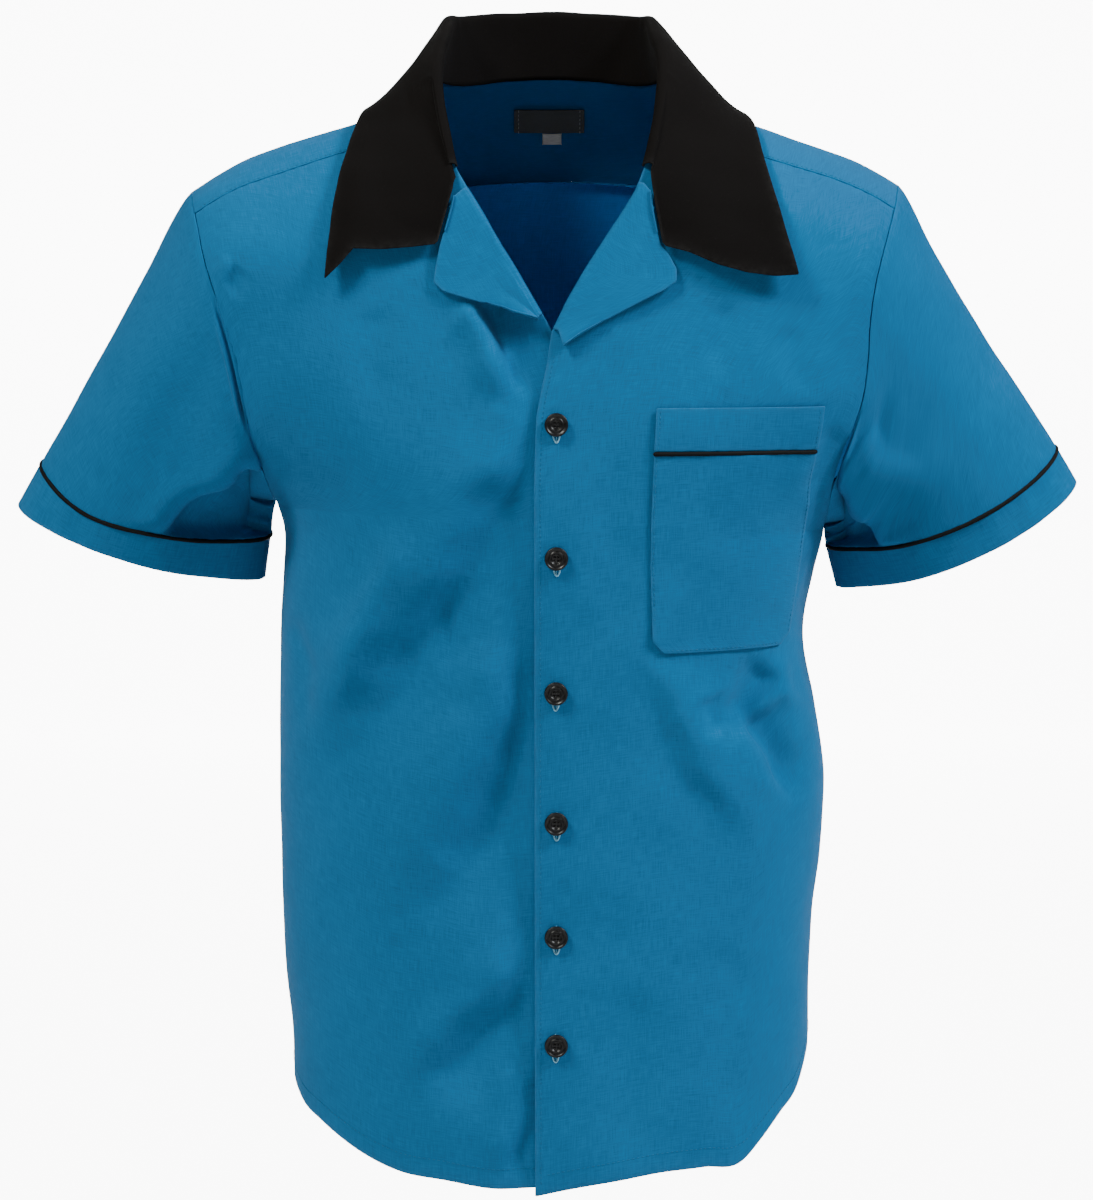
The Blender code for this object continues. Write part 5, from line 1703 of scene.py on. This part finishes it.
def patch_grid(c, lift, rows, columns, sag=0.0):
    """A grid on the left front between a table's inner and outer edges, bulging in its middle by sag."""
    height = np.linspace(c["height"][0], c["height"][-1], rows)
    inner, outer = (np.interp(height, c["height"], c[e])[:, None] for e in ("inner", "outer"))
    t = np.linspace(0, 1, columns)[None]
    x = mix(inner, outer, t)
    z = np.broadcast_to(height[:, None], x.shape)
    v = np.linspace(0, 1, rows)[:, None]
    bulge = sag * np.sin(math.pi * t) ** 0.8 * (1 - (1 - v) ** 3) * ease(v * 6)
    return surface(x, z, FRONTS, lift + bulge)[0]


def make_pocket():
    """Makes the patch pocket, its band and its piping."""
    grid = patch_grid(POCKET, POCKET_FACE, 70, 64, POCKET_SAG)
    ripple = pucker(side_distance(grid), lengths(grid, 0), RIPPLE["pocket"]) + 0.5 * waves(grid * 1.7)
    grid = grid + outward(grid) * ripple[..., None]
    ends = {"first": THIN_EDGE, "last": THIN_EDGE}
    edges = {"low": THIN_EDGE, "high": BUTTED, **ends}
    cloth("pocket_patch", grid, "pocket", edges)
    welt = patch_grid(WELT, WELT_FACE, 18, 64)
    ripple = pucker(seam_distance(welt, 0, last=False), lengths(welt, 1), RIPPLE["band"])
    welt = welt + outward(welt) * ripple[..., None]
    edges = {"low": EDGE, "high": THIN_EDGE, **ends}
    cloth("pocket_band", welt, "pocket_welt", edges)
    x = np.linspace(POCKET["inner"][-1] + 0.0008, POCKET["outer"][-1] - 0.0008, 130)
    line, _ = surface(x, np.full(x.shape, POCKET_CORD_HEIGHT), FRONTS, POCKET_CORD_LIFT)
    add_cord("pocket_cord", line, POCKET_CORD, "pocket_piping")


def button_mesh(name, height):
    """A turned button: height over its back by radius, with four sunk holes, and thread over them.

    Every ring is one radius of the profile; the holes are steep bells taken off the face.
    """
    r, thick = BUTTON_WIDTH / 2, BUTTON_THICK
    profile = table(
        "radius height",
        (0.00, 0.54),
        (0.30, 0.54),
        (0.38, 0.58),
        (0.43, 0.74),
        (0.49, 0.88),
        (0.55, 0.90),
        (0.60, 0.84),
        (0.66, 0.72),
        (0.76, 0.80),
        (0.86, 0.97),
        (0.92, 0.98),
        (0.97, 0.86),
        (1.00, 0.62),
    )
    at = np.concatenate([np.linspace(0.02, 0.36, 16), np.linspace(0.38, 1.0, 34)])
    rise = smooth(at, profile["radius"], profile["height"])
    back = np.array([(0.995, 0.40), (0.96, 0.20), (0.86, 0.06), (0.70, 0.0), (0.35, 0.0), (0.02, 0.0)])
    radii = np.concatenate([at, back[:, 0]]) * r
    rises = np.concatenate([rise, back[:, 1]]) * thick
    turn = np.linspace(0, 2 * math.pi, 64, endpoint=False)
    x = radii[:, None] * np.cos(turn)
    y = radii[:, None] * np.sin(turn)
    z = np.repeat(rises[:, None], 64, 1)
    for way_x, way_y in ((1, 1), (-1, 1), (1, -1), (-1, -1)):
        off = np.hypot(x - way_x * THREAD_HOLE_OFF, y - way_y * THREAD_HOLE_OFF)
        deep = np.where(np.arange(len(z))[:, None] < len(at), THREAD_HOLE_DEEP, 0)
        z = z - deep * np.exp(-((off / THREAD_HOLE_RADIUS) ** 6))
    number = np.arange(x.size).reshape(x.shape)
    beside = np.roll(number, -1, axis=1)
    quads = np.stack([number[:-1], number[1:], beside[1:], beside[:-1]], -1).reshape(-1, 4)
    quads = np.vstack([quads, cap(number[0]), cap(number[-1][::-1])])
    points = np.stack([x, y, z], -1).reshape(-1, 3)
    place, up, across, ahead = button_place(height)
    points = place + points[:, :1] * across + points[:, 1:2] * ahead + points[:, 2:] * up
    mesh = mesh_of(name, points, quads, points[:, :2])
    bars = []
    for sign in (-1, 1):
        t = np.linspace(-1, 1, 9)
        beside = np.full(9, sign * THREAD_HOLE_OFF)
        bar = np.stack([beside, t * THREAD_BAR, 0.00010 + 0.0012 * np.cos(t * 1.45)], -1)
        bar = place + bar[:, :1] * across + bar[:, 1:2] * ahead + (bar[:, 2:] + 0.0006) * up
        bars.append(tube(bar, THREAD_RADIUS, 8))
    return mesh, joined(bars)


def button_place(height):
    """Where a button lies on the left front, and the directions up off the cloth, across and along it."""
    x = np.array([BUTTON_OUT])
    base, up = surface(x, np.array([height]), FRONTS, BUTTON_LIFT)
    up = up[0]
    ahead = square_to(np.array([0, 0, 1.0]), up)
    return base[0], up, np.cross(ahead, up), ahead


def make_buttons():
    """Makes the buttons, and all their thread as one piece."""
    threads = []
    for number, height in enumerate(BUTTON_HEIGHTS, 1):
        mesh, bars = button_mesh(f"button_resin_{number}", height)
        add_piece(f"button_resin_{number}", mesh, [resin()], [f"button_{number}"])
        threads.append(bars)
    add_trim("button_threads", threads, sewing_thread("sewing_thread_black", BUTTON_THREAD))


def make_buttonholes():
    """Each buttonhole is a narrow almond, whose half width goes as a power of a sine: a raised lip of thread
    round it, and a thin line down its middle."""
    s = bpy.context.scene.shirt_trim
    parts = []
    for number, height in enumerate(BUTTON_HEIGHTS):
        t = np.linspace(0, 2 * math.pi, 120)
        half = s.hole_length / 2
        wide = HOLE_WIDE * np.abs(np.sin(t)) ** 1.15 * np.sign(np.sin(t))
        x = BUTTON_OUT + wide + 0.0004 * math.sin(number * 2.3)
        z = height - HOLE_DROP + half * np.cos(t)
        line, _ = surface(x, z, FRONTS, LIP_LIFT)
        wobble = 1 + 0.22 * np.sin(t * 57 + number)
        parts.append(tube(line[:-1], LIP * wobble[:-1], 8, closed=True))
        slit_z = np.linspace(-half * 0.96, half * 0.96, 24) + height - HOLE_DROP
        slit, _ = surface(np.full(24, BUTTON_OUT), slit_z, FRONTS, SLIT_LIFT)
        parts.append(tube(slit, SLIT, 6))
    pale = sewing_thread("buttonhole_thread_pale", s.hole_thread)
    add_trim("buttonhole_threads", parts, pale)


def make_labels():
    """Makes both bare labels, and the stitches at the ends of the upper one."""
    s = bpy.context.scene.shirt_cloth
    for name, node, place, rgb, slot in (
        ("neck_label_cloth", "neck_label", LABEL, s.label, "grey_label"),
        ("size_tab_cloth", "size_label", SIZE_LABEL, s.size_label, "pale_size_label"),
    ):
        left, right, top, bottom, under = place
        x, z = np.meshgrid(np.linspace(left, right, 48), np.linspace(bottom, top, 18))
        over = over_at(x, z, 1)
        bow = 0.0004 * np.sin((x - left) / (right - left) * math.pi)
        grid = lay(x, over, -(CLOTH + under + bow))
        edges = {"low": THIN_EDGE, "high": THIN_EDGE, "first": THIN_EDGE, "last": THIN_EDGE}
        satin = label_cloth(slot + "_satin", rgb)
        cloth(name, grid, node, edges, satin, wall=0.0003)
        if node == "neck_label":
            inward = -normal(x, over)
            rows = [(grid[:, i] + inward[:, i] * 0.0001, inward[:, i]) for i in (3, -4)]
    add_stitching("label_stitching", rows, LABEL_THREAD, "sewing_thread_grey")


def along_hem(panel, above):
    """A line this far above a hem, on the finished face, and its outward directions."""
    if panel == "back":
        parts = []
        for side, sign in (("right", -1), ("left", 1)):
            across = out_across(np.linspace(0.0, 0.985, 200)[::sign])
            hem = hem_line(across, side, "back") + above
            parts.append(surface(sign * half_width(hem, side) * across, hem, 1))
        return tuple(np.vstack(both) for both in zip(*parts))
    sign = SIGN[panel]
    across = out_across(np.linspace(0.03, 0.985, 220))
    hem = hem_line(across, panel, panel) + above
    x = mix(inner_edge(hem, panel), half_width(hem, panel), across)
    line, up = surface(sign * x, hem, RIGHT_ONLY if panel == "right" else FRONTS)
    if panel == "right":
        line[:, 1] += sink(line[:, 0])
    return line, up


def make_stitching():
    """Makes the rows of stitches along the hem, the yoke, the pocket and the closure."""
    s = bpy.context.scene.shirt_trim
    hems = [along_hem(panel, HEM_STITCH) for panel in ("left", "right", "back")]
    add_stitching("stitching_hem", hems, s.thread)
    yoke = yoke_grid()
    up = outward(yoke)
    yoke = yoke + up * (waves(yoke) + FACE)[..., None]
    end = int(YOKE_COLUMNS - 1 - YOKE_SEAM_SHARE * (YOKE_COLUMNS - 1))
    seam = yoke[-1] + unit(yoke[-2] - yoke[-1]) * YOKE_STITCH
    back_row = (seam[end : len(seam) - end], up[-1, end : len(seam) - end])
    fronts = []
    for column, beside in ((0, 1), (-1, -2)):
        line = yoke[:, column] + unit(yoke[:, beside] - yoke[:, column]) * YOKE_STITCH
        fronts.append((line[3:-1], up[3:-1, column]))
    add_stitching("stitching_yoke", [back_row, *fronts], s.thread)
    add_stitching("stitching_pocket", pocket_rows(), s.thread)
    z = np.linspace(*CLOSURE_ROW, 300)
    edge = surface(inner_edge(z, "left") + CLOSURE_STITCH, z, FRONTS)
    add_stitching("stitching_closure", [edge], s.thread)


def side_rows(c, low, high, count, inset, face):
    """Two rows of stitches down the inner and outer edges of a table's patch, between two heights."""
    z = np.linspace(low, high, count)
    edges = (("inner", inset), ("outer", -inset))
    return [surface(np.interp(z, c["height"], c[edge]) + off, z, FRONTS, face) for edge, off in edges]


def pocket_rows():
    """The rows that hold the pocket: round its sides and foot, and down both ends of its band."""
    heights = POCKET["height"]
    sides = side_rows(POCKET, heights[1], heights[-1] - 0.002, 90, POCKET_STITCH, POCKET_FACE)
    x = np.linspace(POCKET["inner"][0] + 0.002, POCKET["outer"][0] - 0.002, 90)
    foot = surface(x, np.full(90, heights[0] + POCKET_STITCH), FRONTS, POCKET_FACE)
    low, high = WELT["height"]
    return [*sides, foot, *side_rows(WELT, low + 0.001, high - 0.001, 30, BAND_STITCH, WELT_FACE)]


# ---- the stage


def area_light(name, power, size, place, aim, rgb):
    """A square light that looks from its place to where it aims."""
    lamp = bpy.data.lights.new(name, "AREA")
    lamp.shape = "RECTANGLE"
    lamp.size = lamp.size_y = size
    lamp.energy = power
    lamp.color = rgb
    made = bpy.data.objects.new(name, lamp)
    made.location = place
    way = np.array(aim, float) - np.array(place, float)
    flat = math.hypot(way[0], way[1])
    made.rotation_euler = (math.atan2(flat, -way[2]), 0, math.atan2(-way[0], way[1]))
    bpy.context.scene.collection.objects.link(made)


def make_backdrop():
    """The floor and the wall behind it as one sheet: flat, up on a quarter circle, and straight."""
    s = bpy.context.scene.shirt_stage
    low, bend = s.floor_height, WALL_BEND
    angle = np.linspace(0, math.pi / 2, 14)
    flat = np.linspace(-STAGE_REACH, WALL_AT - bend, 6)
    y = np.concatenate([flat, WALL_AT - bend + bend * np.sin(angle)[1:], [WALL_AT]])
    z = np.concatenate([np.full(6, low), low + bend * (1 - np.cos(angle))[1:], [low + WALL_TALL]])
    x = np.linspace(-STAGE_REACH, STAGE_REACH, 9)
    points = np.stack(np.broadcast_arrays(x[None], y[:, None], z[:, None]), -1)
    number = np.arange(points[..., 0].size).reshape(points.shape[:2])
    mesh = mesh_of("backdrop", points.reshape(-1, 3), corners_of(number).reshape(-1, 4))
    m = Nodes("backdrop_paper")
    grain = m.noise(m.place(), 40.0)
    where = m.add("SeparateXYZ", {"Vector": m.place()}).outputs
    wide = m.scaled(m.math("ABSOLUTE", where["X"]), *GLOW_SIDES, 1, 0)
    behind, low_down = m.scaled(where["Y"], *GLOW_BEHIND, 0, 1), m.scaled(where["Z"], *GLOW_TOP, 1, 0)
    behind = m.math("MULTIPLY", behind, low_down)
    m.set(
        Base_Color=m.between(grain, 0.3, 0.7, s.floor, 0.985, 1.0),
        Roughness=m.scaled(grain, 0.3, 0.7, 0.88, 0.95),
        Specular_IOR_Level=0.1,
        Emission_Color=(1, 1, 1, 1),
        Emission_Strength=m.math("MULTIPLY", m.math("MULTIPLY", wide, behind), s.backdrop),
    )
    mesh.materials.append(m.material)
    sheet = bpy.data.objects.new("backdrop", mesh)
    bpy.context.scene.collection.objects.link(sheet)


def make_stage():
    """Makes the backdrop, the lights, the soft light from all round and the camera."""
    s = bpy.context.scene.shirt_stage
    make_backdrop()
    for name, power in (("key", s.key), ("fill", s.fill), ("front", s.front)):
        area_light(name + "_light", power, *LIGHTS[name])
    world = bpy.data.worlds.new("soft_sky")
    world.use_nodes = True
    sky = world.node_tree.nodes["Background"]
    sky.inputs["Color"].default_value = (1, 1, 1, 1)
    sky.inputs["Strength"].default_value = s.sky
    bpy.context.scene.world = world
    camera = bpy.data.cameras.new("camera")
    camera.lens = LENS
    camera.sensor_width = 36
    camera.sensor_fit = "AUTO"
    camera.clip_end = 50
    made = bpy.data.objects.new("camera", camera)
    made.location = CAMERA_PLACE
    made.rotation_euler = (math.radians(CAMERA_TILT), 0, 0)
    bpy.context.scene.collection.objects.link(made)
    bpy.context.scene.camera = made


# ---- operators


class SHIRT_OT_stage(bpy.types.Operator):
    """Makes the floor, the lights and the camera"""

    bl_idname = "shirt.stage"
    bl_label = "Stage"

    def execute(self, context):
        make_stage()
        return {"FINISHED"}


class SHIRT_OT_back(bpy.types.Operator):
    """Makes the back, from the yoke seam to the hem"""

    bl_idname = "shirt.back"
    bl_label = "Back"

    def execute(self, context):
        make_back()
        return {"FINISHED"}


class SHIRT_OT_yoke(bpy.types.Operator):
    """Makes the yoke over both shoulders"""

    bl_idname = "shirt.yoke"
    bl_label = "Yoke"

    def execute(self, context):
        make_yoke()
        return {"FINISHED"}


class SHIRT_OT_fronts(bpy.types.Operator):
    """Makes both fronts, the left one over the right"""

    bl_idname = "shirt.fronts"
    bl_label = "Fronts"

    def execute(self, context):
        for hand in ("right", "left"):
            make_front(hand)
        return {"FINISHED"}


class SHIRT_OT_lapels(bpy.types.Operator):
    """Makes both lapels, turned out over the fronts"""

    bl_idname = "shirt.lapels"
    bl_label = "Lapels"

    def execute(self, context):
        for hand in ("right", "left"):
            make_lapel(hand)
        return {"FINISHED"}


class SHIRT_OT_collar(bpy.types.Operator):
    """Makes the collar, folded over its roll"""

    bl_idname = "shirt.collar"
    bl_label = "Collar"

    def execute(self, context):
        make_collar()
        return {"FINISHED"}


class SHIRT_OT_sleeves(bpy.types.Operator):
    """Makes both sleeves with their cuffs and cuff pipings"""

    bl_idname = "shirt.sleeves"
    bl_label = "Sleeves"

    def execute(self, context):
        steps = np.linspace(0, RING, 240, endpoint=False)
        for hand in ("right", "left"):
            make_sleeve(hand)
            make_cuff(hand)
            ring = cuff_ring(hand, 0, steps)
            ring = ring - unit(ring - ring.mean(axis=0)) * CLOTH / 4
            add_cord(f"cuff_cord_{hand}", ring, CUFF_CORD, f"cuff_piping_{hand}", closed=True)
        return {"FINISHED"}


class SHIRT_OT_pocket(bpy.types.Operator):
    """Makes the patch pocket, its band and its piping"""

    bl_idname = "shirt.pocket"
    bl_label = "Pocket"

    def execute(self, context):
        make_pocket()
        return {"FINISHED"}


class SHIRT_OT_buttons(bpy.types.Operator):
    """Makes the six buttons with their thread, and the buttonholes under them"""

    bl_idname = "shirt.buttons"
    bl_label = "Buttons"

    def execute(self, context):
        make_buttons()
        make_buttonholes()
        return {"FINISHED"}


class SHIRT_OT_labels(bpy.types.Operator):
    """Makes the bare neck label and the bare tab under it"""

    bl_idname = "shirt.labels"
    bl_label = "Labels"

    def execute(self, context):
        make_labels()
        return {"FINISHED"}


class SHIRT_OT_stitching(bpy.types.Operator):
    """Makes the rows of stitches along the yoke, the hem, the closure and the pocket"""

    bl_idname = "shirt.stitching"
    bl_label = "Stitching"

    def execute(self, context):
        make_stitching()
        return {"FINISHED"}


OPERATORS = (
    SHIRT_OT_stage,
    SHIRT_OT_back,
    SHIRT_OT_yoke,
    SHIRT_OT_fronts,
    SHIRT_OT_lapels,
    SHIRT_OT_collar,
    SHIRT_OT_sleeves,
    SHIRT_OT_pocket,
    SHIRT_OT_buttons,
    SHIRT_OT_labels,
    SHIRT_OT_stitching,
)
SETTINGS = {"shirt_cloth": ClothSettings, "shirt_trim": TrimSettings, "shirt_stage": StageSettings}


class SHIRT_PT_pieces(bpy.types.Panel):
    """Lists the shirt's settings and the operators that make its pieces"""

    bl_label = "Bowling shirt"
    bl_idname = "SHIRT_PT_pieces"
    bl_space_type = "VIEW_3D"
    bl_region_type = "UI"
    bl_category = "Shirt"

    def draw(self, context):
        """Draws the panel."""
        for name, group in SETTINGS.items():
            box = self.layout.box()
            for field in group.__annotations__:
                box.prop(getattr(context.scene, name), field)
        for operator in OPERATORS:
            self.layout.operator(operator.bl_idname)


def register():
    """Registers the settings, the operators and the panel."""
    for made in (*SETTINGS.values(), *OPERATORS, SHIRT_PT_pieces):
        bpy.utils.register_class(made)
    for name, group in SETTINGS.items():
        setattr(bpy.types.Scene, name, bpy.props.PointerProperty(type=group))


def unregister():
    """Takes away what register added."""
    for name in SETTINGS:
        delattr(bpy.types.Scene, name)
    for made in reversed((*SETTINGS.values(), *OPERATORS, SHIRT_PT_pieces)):
        bpy.utils.unregister_class(made)


def main():
    """Makes every piece."""
    register()
    bpy.ops.shirt.stage()
    bpy.ops.shirt.back()
    bpy.ops.shirt.yoke()
    bpy.ops.shirt.fronts()
    bpy.ops.shirt.lapels()
    bpy.ops.shirt.collar()
    bpy.ops.shirt.sleeves()
    bpy.ops.shirt.pocket()
    bpy.ops.shirt.buttons()
    bpy.ops.shirt.labels()
    bpy.ops.shirt.stitching()


if __name__ == "__main__":
    main()
